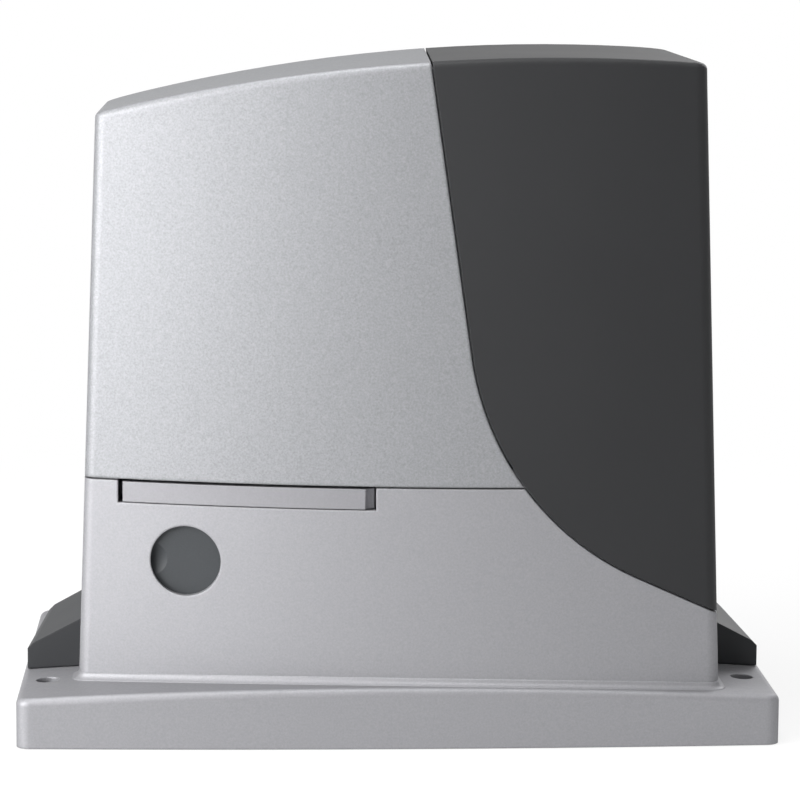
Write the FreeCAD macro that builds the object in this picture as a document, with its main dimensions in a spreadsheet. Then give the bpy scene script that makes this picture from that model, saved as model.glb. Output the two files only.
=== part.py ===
import FreeCAD, Part
import Sketcher
import math
import os
import re

# Sliding gate motor, built in millimetres as an assembly of separate pieces.
# X runs along the gate, Y from the front to the gate (the pinion is at +Y), Z is up.
# The origin is the middle of the base's underside.

Vector = FreeCAD.Vector

SIZES = {
    # Base flange
    "base_half": 165.0,
    "base_depth": 95.0,
    "base_bow": 3.9,
    "base_corner": 6.0,
    "base_edge": 3.0,
    "arch_middle": 26.5,
    "arch_end": 21.0,
    "foot_wall": 6.0,
    "floor_top": 20.0,
    "floor_wall": 5.0,
    "rib_wall": 4.0,
    # Housing: drafted and crowned, sizes at the base plane
    "flange_side": 24.7,
    "flange_front": 5.0,
    "flange_rear": 11.0,
    "front_radius": 600.0,
    "front_apex": 50.0,
    "body_draft": 1.9,
    "body_corner": 6.0,
    "rear_corner": 18.0,
    "crown_top": 296.0,
    "crown_apex": 72.4,
    "crown_turn": 2.9,
    "crown_radius": 800.0,
    "crown_edge": 3.0,
    "cast_wall": 5.0,
    "cover_wall": 2.8,
    # Split lines between the castings and the covers
    "seam_height": 112.0,
    "seam_gap": 0.8,
    "split_x": 40.2,
    "split_drop": 10.6,
    "split_lean": 8.3,
    "split_fall": 24.7,
    "split_round": 125.0,
    "split_turn": 2.1,
    "lip_height": 8.0,
    "side_screw_y": 48.0,
    "side_screw_lift": 7.841,
    "fit_gap": 0.3,
    # Fixing to the foundation
    "anchor_inset": 14.0,
    "anchor_wide": 11.0,
    "anchor_long": 16.0,
    "level_inset": 12.0,
    "level_end": 39.0,
    "level_bore": 10.0,
    "level_length": 17.0,
    "cap_wall": 2.2,
    "cap_front": 33.0,
    "cap_rear": 38.0,
    "cap_inset": 1.7,
    "cap_rear_inset": 7.4,
    "cap_tall": 10.0,
    "cap_rear_tall": 12.5,
    "cap_rise": 23.7,
    "cap_bevel": 2.4,
    # Gear train
    "gear_x": 0.0,
    "case_lift": 4.0,
    "pinion_module": 4.0,
    "pinion_teeth": 15,
    "pinion_gap": 3.0,
    "pinion_width": 28.0,
    "worm_module": 2.0,
    "wheel_teeth": 50,
    "wheel_inset": 26.0,
    "wheel_face": 20.0,
    "worm_radius": 10.0,
    "mesh_play": 0.9,
    "shaft_radius": 10.0,
    "journal_step": 1.5,
    "case_radius": 56.0,
    "case_wall": 5.0,
    "case_depth": 48.0,
    "hub_depth": 16.0,
    "plate_thick": 5.0,
    "gasket_thick": 0.8,
    "lug_radius": 5.0,
    "seat_radius": 21.0,
    "seat_depth": 24.0,
    "seat_wall": 4.0,
    "rear_bearing_width": 12.0,
    "boss_wall": 6.0,
    "tube_bore": 14.0,
    "tube_wall": 7.0,
    "run_gap": 0.05,
    # Motor
    "motor_radius": 40.0,
    "motor_length": 98.0,
    "motor_wall": 1.8,
    "motor_bolt_ring": 26.0,
    # Release
    "recess_side": 18.5,
    "recess_long": 111.3,
    "recess_high": 10.0,
    "recess_deep": 13.0,
    "handle_gap": 2.0,
    "handle_end_gap": 0.7,
    "handle_thick": 9.0,
    "pivot_inset": 6.3,
    "pivot_depth": 31.5,
    "pivot_radius": 2.5,
    "pivot_sweep": 9.4,
    "cam_throw": 10.0,
    "release_swing": 85.0,
    "release_travel": 4.0,
    "rod_radius": 3.0,
    "slide_drop": 11.5,
    "slide_thick": 4.0,
    "slide_depth": 35.5,
    "slide_wide": 12.5,
    "slide_stroke": 13.5,
    "dog_length": 7.7,
    "dog_radius": 20.0,
    "dog_wall": 5.0,
    "key_wide": 6.0,
    # Lock
    "lock_side": 47.8,
    "lock_drop": 24.3,
    "lock_bore": 30.5,
    "shutter_turn": 12.2,
    "shutter_lap": 2.35,
    "shutter_skin": 3.0,
    "shutter_travel": 33.0,
    # Limit switch
    "limit_gap": 1.0,
    "limit_half": 17.0,
    # Electronics
    "board_side": 16.3,
    "board_wide": 88.0,
    "board_tall": 124.0,
    "board_drop": 40.0,
    "board_depth": 27.4,
    "shelf_gap": 1.0,
    "trafo_side": 56.3,
    "trafo_depth": 66.0,
    "trafo_radius": 41.0,
    "trafo_height": 34.0,
    "cable_side": 45.3,
    "cable_depth": 56.0,
    "cable_radius": 19.0,
}

# Places and sizes that follow from the ones above
FOLLOWERS = {
    "body_half": "base_half - flange_side",
    "body_front": "base_depth - flange_front",
    "body_rear": "base_depth - flange_rear",
    "split_z": "seam_height - split_drop",
    "side_screw_z": "split_z - (body_half - split_x) * tan(split_fall) + side_screw_lift",
    "anchor_x": "base_half - anchor_inset",
    "level_x": "base_half - level_inset",
    "level_y": "base_depth - level_end",
    "cap_reach": "base_half - cap_inset",
    "cap_rear_reach": "base_half - cap_rear_inset",
    "cap_side": "arch_end + cap_tall",
    "cap_rear_side": "arch_end + cap_rear_tall",
    "cap_peak": "arch_end + cap_rise",
    "gear_z": "floor_top + case_radius + case_lift",
    "seat_start": "body_rear - seat_depth",
    "case_back": "seat_start - seat_wall",
    "case_front": "case_back - case_depth",
    "hub_front": "case_front - hub_depth",
    "pinion_start": "body_rear + pinion_gap",
    "wheel_y": "case_back - wheel_inset",
    "dog_y": "wheel_y + wheel_face / 2 + fit_gap",
    "dog_bore": "dog_radius - dog_wall",
    "journal_radius": "shaft_radius - journal_step",
    "boss_radius": "seat_radius + boss_wall",
    "tube_radius": "tube_bore + tube_wall",
    "tube_top": "gear_z + case_radius + case_wall",
    "recess_left": "recess_side - body_half",
    "recess_right": "recess_left + recess_long",
    "recess_low": "seam_height - recess_high",
    "handle_left": "recess_left + handle_gap",
    "handle_right": "recess_right - handle_end_gap",
    "pivot_x": "handle_left + pivot_inset",
    "pivot_y": "pivot_depth - body_front",
    "slide_low": "recess_low - slide_drop",
    "slide_front": "slide_depth - body_front",
    "slide_back": "slide_front + slide_wide",
    "lock_x": "lock_side - body_half",
    "lock_z": "recess_low - lock_drop",
    "shutter_radius": "lock_bore / 2 + shutter_lap",
    "limit_z": "seam_height + limit_half + limit_gap",
    "board_right": "body_half - board_side",
    "board_left": "board_right - board_wide",
    "board_high": "crown_top - board_drop",
    "board_low": "board_high - board_tall",
    "board_face": "board_depth - body_front",
    "shelf_z": "tube_top + shelf_gap",
    "trafo_x": "body_half - trafo_side",
    "trafo_y": "body_rear - trafo_depth",
    "cable_x": "body_half - cable_side",
    "cable_y": "body_rear - cable_depth",
}

doc = FreeCAD.newDocument("gate_motor")
sheet = doc.addObject("Spreadsheet::Sheet", "dims")
for row, alias in enumerate(list(SIZES) + list(FOLLOWERS), start=1):
    sheet.set("A%d" % row, alias)
    sheet.set("B%d" % row, str(SIZES[alias]) if alias in SIZES else "=" + FOLLOWERS[alias])
    sheet.setAlias("B%d" % row, alias)
doc.recompute()

NODES = {}
NAMES = set(SIZES) | set(FOLLOWERS)
WORD = re.compile(r"[a-z][a-z0-9_]*")


def ex(text):
    """Turn a formula in size names into an expression on the sheet."""
    return WORD.sub(lambda m: "dims." + m.group(0) if m.group(0) in NAMES else m.group(0), str(text))


def num(text):
    """The present value of a formula in size names."""
    return float(sheet.evalExpression(ex(text)))


def place(thing, x="0", y="0", z="0", axis=None, angle=0.0):
    """Turn a thing about one axis and bind its position to the sheet."""
    if axis is not None:
        thing.Placement = FreeCAD.Placement(Vector(0, 0, 0), FreeCAD.Rotation(Vector(*axis), angle))
    thing.setExpression("Placement.Base.x", ex(x))
    thing.setExpression("Placement.Base.y", ex(y))
    thing.setExpression("Placement.Base.z", ex(z))
    return thing


def node(thing, label):
    """Name a finished piece."""
    thing.Label = label
    NODES[label] = thing
    return thing


def box(x0, x1, y0, y1, z0, z1):
    """A block between two limits along each axis."""
    thing = doc.addObject("Part::Box", "block")
    thing.setExpression("Length", ex("(%s) - (%s)" % (x1, x0)))
    thing.setExpression("Width", ex("(%s) - (%s)" % (y1, y0)))
    thing.setExpression("Height", ex("(%s) - (%s)" % (z1, z0)))
    return place(thing, x0, y0, z0)


def rod(axis, first, second, radius, start, end):
    """A cylinder along X, Y or Z; first and second are its centre in the other two axes in order."""
    thing = doc.addObject("Part::Cylinder", "rod")
    thing.setExpression("Radius", ex(radius))
    thing.setExpression("Height", ex("(%s) - (%s)" % (end, start)))
    if axis == "x":
        return place(thing, start, first, second, (0, 1, 0), 90)
    if axis == "y":
        return place(thing, first, start, second, (1, 0, 0), -90)
    return place(thing, first, second, start)


def fuse(*things):
    """The union of several things."""
    if len(things) == 1:
        return things[0]
    thing = doc.addObject("Part::MultiFuse", "union")
    thing.Shapes = list(things)
    thing.Refine = True
    return thing


def cut(base, *tools):
    """A thing less one or more others."""
    thing = doc.addObject("Part::Cut", "cut")
    thing.Base = base
    thing.Tool = fuse(*tools)
    thing.Refine = True
    return thing


def common(first, second):
    """What two things share."""
    thing = doc.addObject("Part::MultiCommon", "common")
    thing.Shapes = [first, second]
    return thing


def group(*things):
    """Several loose solids in one node."""
    thing = doc.addObject("Part::Compound", "group")
    thing.Links = list(things)
    return thing


def origin_part(body, role):
    """A plane or an axis of a body's own origin."""
    return [item for item in body.Origin.OriginFeatures if item.Role == role][0]


def outline(body, plane, points, arcs=None, offset="0"):
    """A closed sketch. Corners are pairs of formulas; arcs gives the sides that are arcs as
    {corner: (radius, side)}, where side is 1 for a bulge to the right of the way along it."""
    arcs = arcs or {}
    sketch = body.newObject("Sketcher::SketchObject", "outline")
    sketch.AttachmentSupport = [(origin_part(body, plane), "")]
    sketch.MapMode = "FlatFace"
    sketch.setExpression("AttachmentOffset.Base.z", ex(offset))
    spots = [Vector(num(a), num(b), 0) for a, b in points]
    count = len(points)
    ends = []
    for index in range(count):
        a = spots[index]
        b = spots[(index + 1) % count]
        if index not in arcs:
            sketch.addGeometry(Part.LineSegment(a, b), False)
            ends.append((1, 2))
            continue
        radius = num(arcs[index][0])
        side = arcs[index][1]
        first, last = (a, b) if side > 0 else (b, a)
        chord = last - first
        rise = math.sqrt(max(radius ** 2 - (chord.Length / 2) ** 2, 0))
        middle = (first + last) * 0.5 + Vector(-chord.y, chord.x, 0) * (rise / chord.Length)
        angle_a = math.atan2(first.y - middle.y, first.x - middle.x)
        angle_b = math.atan2(last.y - middle.y, last.x - middle.x)
        if angle_b < angle_a:
            angle_b += 2 * math.pi
        circle = Part.Circle(middle, Vector(0, 0, 1), radius)
        sketch.addGeometry(Part.ArcOfCircle(circle, angle_a, angle_b), False)
        ends.append((1, 2) if side > 0 else (2, 1))
    for index in range(count):
        follower = (index + 1) % count
        sketch.addConstraint(Sketcher.Constraint("Coincident", index, ends[index][1], follower, ends[follower][0]))
    for index, (a, b) in enumerate(points):
        for kind, formula in (("DistanceX", a), ("DistanceY", b)):
            made = sketch.addConstraint(Sketcher.Constraint(kind, -1, 1, index, ends[index][0], num(formula)))
            sketch.setExpression("Constraints[%d]" % made, ex(formula))
    for index, (radius, side) in arcs.items():
        made = sketch.addConstraint(Sketcher.Constraint("Radius", index, num(radius)))
        sketch.setExpression("Constraints[%d]" % made, ex(radius))
    return sketch


def prism(plane, points, start, end, arcs=None, draft=None):
    """A body padded from an outline: XY from start to end in Z, XZ in Y, YZ in X."""
    body = doc.addObject("PartDesign::Body", "prism")
    offset = "-(%s)" % end if plane == "XZ_Plane" else start
    pad = body.newObject("PartDesign::Pad", "pad")
    pad.Profile = outline(body, plane, points, arcs, offset)
    pad.setExpression("Length", ex("(%s) - (%s)" % (end, start)))
    if draft is not None:
        pad.setExpression("TaperAngle", ex(draft))
    return body


def turned(axis, spot, profile):
    """A body of revolution. The profile's corners are (place along the axis, radius)."""
    body = doc.addObject("PartDesign::Body", "turned")
    spin = body.newObject("PartDesign::Revolution", "revolution")
    spin.Profile = outline(body, "XZ_Plane", [(radius, along) for along, radius in profile])
    spin.ReferenceAxis = (origin_part(body, "Z_Axis"), [""])
    spin.Angle = 360
    turns = {"x": ((0, 1, 0), 90), "y": ((1, 0, 0), -90), "z": (None, 0)}
    return place(body, *spot, *turns[axis])


def rounded(body, chooser, radius):
    """Fillet the edges of a body's last feature that the chooser picks."""
    doc.recompute()
    last = body.Tip
    names = ["Edge%d" % (i + 1) for i, edge in enumerate(last.Shape.Edges) if chooser(edge)]
    fillet = body.newObject("PartDesign::Fillet", "fillet")
    fillet.Base = (last, names)
    fillet.setExpression("Radius", ex(radius))
    return body


def upright(edge):
    """True for an edge that runs up the piece."""
    size = edge.BoundBox
    return size.ZLength > 3 * max(size.XLength, size.YLength, 0.1)


# Housing: one drafted and crowned block, made at several insets from the outer skin

FRONT_CENTRE = "(front_radius - body_front)"
REACH = "(base_half + 40)"


def housing(inset, edge=None):
    """The housing's outer form, moved inwards by an inset."""
    half = "(body_half - (%s))" % inset
    radius = "(front_radius - (%s))" % inset
    left_y = "%s - sqrt(%s ^ 2 - (%s + front_apex) ^ 2)" % (FRONT_CENTRE, radius, half)
    right_y = "%s - sqrt(%s ^ 2 - (%s - front_apex) ^ 2)" % (FRONT_CENTRE, radius, half)
    rear = "body_rear - (%s)" % inset
    corners = [("-" + half, left_y), (half, right_y), (half, rear), ("-" + half, rear)]
    body = prism("XY_Plane", corners, "0", "crown_top + 10", {0: (radius, 1)}, "-body_draft")
    rounded(body, lambda e: upright(e) and e.BoundBox.YMax < 0, "max(body_corner - (%s); 1)" % inset)
    rounded(body, lambda e: upright(e) and e.BoundBox.YMin > 0, "max(rear_corner - (%s); 1)" % inset)
    arc = "(crown_radius - (%s))" % inset
    centre = "(crown_top - crown_radius)"
    left_z = "%s + sqrt(%s ^ 2 - (%s + crown_apex) ^ 2)" % (centre, arc, REACH)
    right_z = "%s + sqrt(%s ^ 2 - (%s - crown_apex) ^ 2)" % (centre, arc, REACH)
    top = "crown_top + 40"
    sky = [(REACH, right_z), (REACH, top), ("-" + REACH, top), ("-" + REACH, left_z)]
    pocket = body.newObject("PartDesign::Pocket", "crown")
    pocket.Profile = outline(body, "XZ_Plane", sky, {3: (arc, -1)})
    pocket.Profile[0].AttachmentOffset = FreeCAD.Placement(
        Vector(0, 0, 0), FreeCAD.Rotation(Vector(0, 1, 0), -num("crown_turn")))
    pocket.Midplane = True
    pocket.setExpression("Length", ex("4 * base_depth"))
    if edge is not None:
        low = num("seam_height")
        rounded(body, lambda e: e.BoundBox.ZMin > low and not upright(e), edge)
    return body


def beyond_split(shift):
    """Everything to the right of the sweeping split curve, moved to the right by a shift."""
    bisector = "((90 + split_lean - split_fall) / 2)"
    half_angle = "((90 + split_lean + split_fall) / 2)"
    corner_x = "split_x + (%s) * cos(%s) / sin(%s)" % (shift, bisector, half_angle)
    corner_z = "split_z + (%s) * sin(%s) / sin(%s)" % (shift, bisector, half_angle)
    top = "(crown_top + 60)"
    far = "(base_half + 60)"
    top_x = "%s - (%s - (%s)) * tan(split_lean)" % (corner_x, top, corner_z)
    low_z = "%s - (%s - (%s)) * tan(split_fall)" % (corner_z, far, corner_x)
    corners = [(corner_x, corner_z), (far, low_z), (far, top), (top_x, top)]
    body = prism("XZ_Plane", corners, "-2 * base_depth", "2 * base_depth")
    x, z = num(corner_x), num(corner_z)

    def at_corner(edge):
        size = edge.BoundBox
        return size.YLength > 10 and abs(size.XMin - x) < 0.01 and abs(size.ZMin - z) < 0.01

    rounded(body, at_corner, "split_round - (%s)" % shift)
    pivot = "(body_front - 15)"
    return place(body, pivot + " * sin(split_turn)", pivot + " * (cos(split_turn) - 1)", "0",
                 (0, 0, 1), -num("split_turn"))



def turned_about(angle):
    """The cosine and sine of an angle in degrees."""
    return math.cos(math.radians(angle)), math.sin(math.radians(angle))


outer = housing("0", "crown_edge")
cover_inside = housing("cover_wall")
cast_inside = housing("cast_wall")
lip_outside = housing("cover_wall + fit_gap")
right_of_casting = beyond_split("-seam_gap / 2")
right_of_cover = beyond_split("seam_gap / 2")
below_seam = box("-" + REACH, REACH, "-2 * base_depth", "2 * base_depth", "-10", "seam_height - seam_gap / 2")
above_seam = box("-" + REACH, REACH, "-2 * base_depth", "2 * base_depth", "seam_height + seam_gap / 2", "crown_top + 20")
switch_notch = box(
    "gear_x - limit_half - fit_gap", "gear_x + limit_half + fit_gap", "body_rear - 30", "body_rear + 5",
    "seam_height - 5 * seam_gap", "limit_z + limit_half + fit_gap")

# Base casting: foot flange with a bowed front and an arched top, and the lower housing

BOW_RADIUS = "((base_half ^ 2 + base_bow ^ 2) / (2 * base_bow))"
ARCH_HALF = "(base_half + base_corner)"
ARCH_RISE = "(arch_middle - arch_end)"
ARCH_RADIUS = "((%s ^ 2 + %s ^ 2) / (2 * %s))" % (ARCH_HALF, ARCH_RISE, ARCH_RISE)
WORM_X = "(gear_x - worm_radius - worm_module * wheel_teeth / 2)"
CABLE_BOSS = "(cable_radius + 3)"
LUG_ANGLES = (0, 60, 120, 240, 300)
MOTOR_BOLT_ANGLES = (45, 135, 225, 315)


def foot_outline(inset):
    """The corners of the flange, moved inwards by an inset."""
    side = "(base_half - (%s))" % inset
    front = "base_bow - base_depth + (%s)" % inset
    rear = "base_depth - (%s)" % inset
    return [("-" + side, front), (side, front), (side, rear), ("-" + side, rear)]


def foot_flange():
    """The solid flange, before its underside is hollowed."""
    body = prism("XY_Plane", foot_outline("0"), "0", "arch_middle + 5", {0: (BOW_RADIUS, 1)})
    rounded(body, upright, "base_corner")
    top = "arch_middle + 20"
    sky = [(ARCH_HALF, "arch_end"), (ARCH_HALF, top), ("-" + ARCH_HALF, top), ("-" + ARCH_HALF, "arch_end")]
    arch = body.newObject("PartDesign::Pocket", "arch")
    arch.Profile = outline(body, "XZ_Plane", sky, {3: (ARCH_RADIUS, -1)})
    arch.Midplane = True
    arch.setExpression("Length", ex("4 * base_depth"))
    low = num("arch_end") - 4
    return rounded(body, lambda e: e.BoundBox.ZMin > low and not upright(e), "base_edge")


def foot_hollow():
    """The hollow under the flange, less its ribs and bosses."""
    top = "floor_top - floor_wall"
    half_rib = "rib_wall / 2"
    hollow = prism("XY_Plane", foot_outline("foot_wall"), "-1", top, {0: (BOW_RADIUS, 1)})
    keep = []
    for y in ("-body_front / 2", "body_rear * 0.7"):
        keep.append(box("-base_half", "base_half", "%s - %s" % (y, half_rib), "%s + %s" % (y, half_rib), "-2", top))
    for x in ("-body_half * 0.6", "gear_x", "body_half * 0.43"):
        keep.append(box("%s - %s" % (x, half_rib), "%s + %s" % (x, half_rib), "-base_depth", "base_depth", "-2", top))
    for side in (-1, 1):
        for end in (-1, 1):
            keep.append(rod("z", "%d * level_x" % side, "%d * level_y" % end, "level_bore / 2 + 6", "-2", top))
        keep.append(box(
            "%d * anchor_x - anchor_long / 2 - foot_wall" % side, "%d * anchor_x + anchor_long / 2 + foot_wall" % side,
            "-anchor_wide / 2 - foot_wall", "anchor_wide / 2 + foot_wall", "-2", top))
    keep.append(rod("z", "cable_x", "cable_y", CABLE_BOSS, "-2", top))
    return cut(hollow, *keep)


def anchor_slot(side):
    """A slot through the flange for one foundation bolt, long across the gate's line of travel."""
    reach = "(anchor_long - anchor_wide) / 2"
    middle = "%d * anchor_x" % side
    ends = [rod("z", "%s + %d * %s" % (middle, way, reach), "0", "anchor_wide / 2", "-5", "arch_middle + 5") for way in (-1, 1)]
    return fuse(*ends, box("%s - %s" % (middle, reach), "%s + %s" % (middle, reach),
                           "-anchor_wide / 2", "anchor_wide / 2", "-5", "arch_middle + 5"))


def gear_lug(angle, radius, start, end):
    """A round lug or hole at one of the gear case's screws."""
    x, z = turned_about(angle)
    ring = "(case_radius + case_wall + 1)"
    return rod("y", "gear_x + %.6f * %s" % (x, ring), "gear_z + %.6f * %s" % (z, ring), radius, start, end)


def gear_case():
    """The gear case's walls inside the casting, with the worm tube and the output boss."""
    case = rod("y", "gear_x", "gear_z", "case_radius + case_wall", "case_front", "seat_start")
    boss = rod("y", "gear_x", "gear_z", "boss_radius", "case_back", "pinion_start - 2")
    tube = rod("z", WORM_X, "wheel_y", "tube_radius", "floor_top - 1", "tube_top")
    tube_flange = cut(rod("z", WORM_X, "wheel_y", "motor_radius - 4", "tube_top - 8", "tube_top"),
                      box("-body_half", "gear_x", "-body_front", "case_front", "tube_top - 10", "tube_top + 1"))
    lugs = [gear_lug(angle, "lug_radius", "case_front", "case_front + 12") for angle in LUG_ANGLES]
    shelf = box("gear_x - limit_half", "gear_x + limit_half", "seat_start - 2", "body_rear - 7",
                "gear_z + boss_radius - 6", "seam_height - seam_gap / 2")
    return [case, boss, tube, tube_flange, shelf] + lugs


def gear_voids():
    """The hollows of the gear case: chamber, worm tube, bearing seats and tapped holes."""
    chamber = rod("y", "gear_x", "gear_z", "case_radius", "case_front - 1", "case_back")
    seat = rod("y", "gear_x", "gear_z", "seat_radius", "seat_start", "pinion_start")
    neck = rod("y", "gear_x", "gear_z", "shaft_radius + 1.5", "case_back - 1", "seat_start + 1")
    worm_room = rod("z", WORM_X, "wheel_y", "tube_bore", "floor_top + 22", "tube_top + 1")
    low_seat = rod("z", WORM_X, "wheel_y", "worm_radius + 3", "floor_top + 12", "floor_top + 23")
    low_room = rod("z", WORM_X, "wheel_y", "worm_radius - 3", "floor_top + 9", "floor_top + 13")
    high_seat = rod("z", WORM_X, "wheel_y", "worm_radius + 6", "tube_top - 12", "tube_top + 1")
    taps = [gear_lug(angle, "lug_radius / 2", "case_front - 1", "case_front + 10") for angle in LUG_ANGLES]
    bolts = []
    for angle in MOTOR_BOLT_ANGLES:
        x, y = turned_about(angle)
        bolts.append(rod("z", "%s + %.6f * motor_bolt_ring" % (WORM_X, x), "wheel_y + %.6f * motor_bolt_ring" % y,
                         "2.5", "tube_top - 9", "tube_top + 1"))
    return [chamber, seat, neck, worm_room, low_seat, low_room, high_seat] + taps + bolts


def handle_lining():
    """The pocket that the release handle lies in, as a thickening of the front wall."""
    block = box("recess_left - 4", "recess_right + 4", "-2 * body_front", "-10", "recess_low - 4", "seam_height - seam_gap / 2")
    guides = []
    for x, y in (("lock_x + 30.5", "-64"), ("lock_x + 58.5", "-68")):
        guides.append(box(x, "%s + 10" % x, y, "slide_back + 4", "slide_low - 4", "recess_low + 4"))
    return [cut(common(outer, block), housing("recess_deep + 4"))] + guides


def handle_voids():
    """The recess itself, room for the handle's end to turn, the pin's hole, the cam's clearance and
    the slots that guide the slide."""
    block = box("recess_left", "recess_right", "-2 * body_front", "-10", "recess_low", "seam_height + 1")
    recess = cut(block, housing("recess_deep"))
    sweep = common(rod("z", "pivot_x", "pivot_y", "pivot_sweep", "recess_low", "seam_height + 1"),
                   box("recess_left", "recess_right", "pivot_y", "pivot_y + 2 * pivot_sweep",
                       "recess_low - 1", "seam_height + 2"))
    pin_hole = rod("z", "pivot_x", "pivot_y", "pivot_radius + run_gap", "recess_low - 6", "recess_low + 1")
    cam_room = rod("z", "pivot_x", "pivot_y", "pivot_radius + 1.5", "slide_low - 3", "recess_low - 4")
    track = box("lock_x + 25", "lock_x + 75", "slide_front - fit_gap", "slide_back + fit_gap",
                "slide_low - fit_gap", "slide_low + slide_thick + fit_gap")
    return [recess, sweep, pin_hole, cam_room, track]



LOCK_Y = "(%s - sqrt((front_radius - lock_z * tan(body_draft)) ^ 2 - (front_apex - lock_x) ^ 2))" % FRONT_CENTRE


def lock_spot(along, inward, up):
    """A place near the lock: along the shutter's slide, inwards from the wall's face, and up."""
    x = "lock_x + (%s) * cos(shutter_turn) + (%s) * sin(shutter_turn)" % (along, inward)
    y = "%s - (%s) * sin(shutter_turn) + (%s) * cos(shutter_turn)" % (LOCK_Y, along, inward)
    return x, y, "lock_z + (%s)" % up


def lock_block(x0, x1, y0, y1, z0, z1):
    """A block that is square to the lock's axis."""
    thing = box(x0, x1, y0, y1, z0, z1)
    return place(thing, *lock_spot(x0, y0, z0), (0, 0, 1), -num("shutter_turn"))


def lock_rod(along, radius, start, end):
    """A cylinder round the lock's axis, between two depths."""
    thing = doc.addObject("Part::Cylinder", "rod")
    thing.setExpression("Radius", ex(radius))
    thing.setExpression("Height", ex("(%s) - (%s)" % (end, start)))
    place(thing, *lock_spot(along, start, "0"))
    turn = FreeCAD.Rotation(Vector(0, 0, 1), -num("shutter_turn"))
    thing.Placement.Rotation = turn.multiply(FreeCAD.Rotation(Vector(1, 0, 0), -90))
    return thing


def lock_voids():
    """The round hole for the key and the shutter's pocket behind it."""
    hole = rod("y", "lock_x", "lock_z", "lock_bore / 2", LOCK_Y + " - 5", LOCK_Y + " + cast_wall + 3")
    side = "shutter_radius + 1"
    pocket = lock_block("-(%s)" % side, "shutter_travel + %s" % side, "shutter_skin", "cast_wall + 2",
                        "-(%s)" % side, side)
    return [hole, pocket]


def base_casting():
    """The whole aluminium casting."""
    shell = cut(common(outer, below_seam), right_of_casting)
    room = cut(cast_inside, box("-" + REACH, REACH, "-" + REACH, REACH, "-100", "floor_top"))
    band_block = box("-" + REACH, REACH, "-" + REACH, REACH, "floor_top + 20", "seam_height + lip_height")
    lip = cut(cut(common(lip_outside, band_block), cast_inside), beyond_split("lip_height"), switch_notch)
    body = cut(fuse(foot_flange(), shell), foot_hollow(), room)
    levels = []
    for side in (-1, 1):
        for end in (-1, 1):
            levels.append(rod("z", "%d * level_x" % side, "%d * level_y" % end, "level_bore / 2", "-1", "arch_middle + 5"))
    screws = [rod("y", x, "seam_height + lip_height / 2", "2.05", "body_rear - 14", "body_rear + 1") for x in COVER_SCREWS]
    screws.append(rod("x", "side_screw_y", "side_screw_z", "2.55", "body_half - 15", "body_half + 1"))
    cable = rod("z", "cable_x", "cable_y", "cable_radius", "-1", "floor_top + 10")
    solid = fuse(body, lip, *gear_case(), *handle_lining())
    return cut(solid, *gear_voids(), *handle_voids(), *lock_voids(), anchor_slot(-1), anchor_slot(1), *levels, *screws, cable)


COVER_SCREWS = ("-body_half * 0.76", "-body_half * 0.3")

node(base_casting(), "base_casting")
node(group(*[
    rod("z", "%d * level_x" % side, "%d * level_y" % end, "level_bore / 2 - fit_gap / 3", "2", "2 + level_length")
    for side in (-1, 1) for end in (-1, 1)]), "levelling_screws")

# Covers


def front_cover():
    """The silver cover over the front and left, with a lip behind its swept edge."""
    wall = common(cut(outer, cover_inside), above_seam)
    shell = cut(wall, right_of_casting, switch_notch)
    reach = "lip_height - 2"
    web = cut(cut(cover_inside, cast_inside), right_of_casting)
    flap = cut(cut(lip_outside, cast_inside), beyond_split(reach))
    low = box("-" + REACH, REACH, "-" + REACH, REACH, "-20", "seam_height + lip_height + 3")
    lip = cut(common(fuse(web, flap), beyond_split("-(%s)" % reach)), low)
    holes = [rod("y", x, "seam_height + lip_height / 2", "2.3", "body_rear - 14", "body_rear + 1") for x in COVER_SCREWS]
    return cut(fuse(shell, lip), *holes)


def side_cover():
    """The dark cover to the right of the split, which lifts off. A slot clears its screw."""
    wall = common(cut(outer, cover_inside), right_of_cover)
    slot = rod("x", "side_screw_y", "side_screw_z", "2.8", "body_half - 15", "body_half + 5")
    mouth = box("body_half - 15", "body_half + 5", "side_screw_y - 2.8", "side_screw_y + 2.8", "side_screw_z - 20", "side_screw_z")
    return cut(wall, slot, mouth)


node(front_cover(), "front_cover")
node(side_cover(), "side_cover")


def rear_screw(x):
    """One self-tapping screw through the silver cover's rear wall into the casting's lip."""
    face = "body_rear - (seam_height + lip_height / 2) * tan(body_draft)"
    profile = [("-10", "0"), ("-10", "2"), ("0.4", "2"), ("0.4", "4"), ("2", "4"), ("2.8", "3"), ("2.8", "0")]
    return turned("y", (x, face, "seam_height + lip_height / 2"), profile)


node(group(*[rear_screw(x) for x in COVER_SCREWS]), "front_cover_screws")
node(turned("x", ("body_half - side_screw_z * tan(body_draft)", "side_screw_y", "side_screw_z"), [
    ("-12", "0"), ("-12", "2.5"), ("0.5", "2.5"), ("0.5", "4.8"), ("2.4", "4.8"), ("3.4", "3.8"), ("3.4", "0")]),
    "side_cover_screw")


def cap_section(reach, side, inset, wall_gap):
    """The corners of an anchor cap's cross-section: foot, outer side, bevel, long slope and wall."""
    edge = "(%s - (%s))" % (reach, inset)
    near = "(body_half - cap_peak * tan(body_draft) + %s)" % wall_gap
    foot = "(body_half - arch_end * tan(body_draft) + %s)" % wall_gap
    return [(foot, "arch_end + 2.2"), (edge, "arch_end + 0.85"), (edge, "%s - (%s) / 2" % (side, inset)),
            ("%s - cap_bevel" % edge, "%s + cap_bevel - (%s)" % (side, inset)), (near, "cap_peak - (%s) * 1.2" % inset)]


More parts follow.
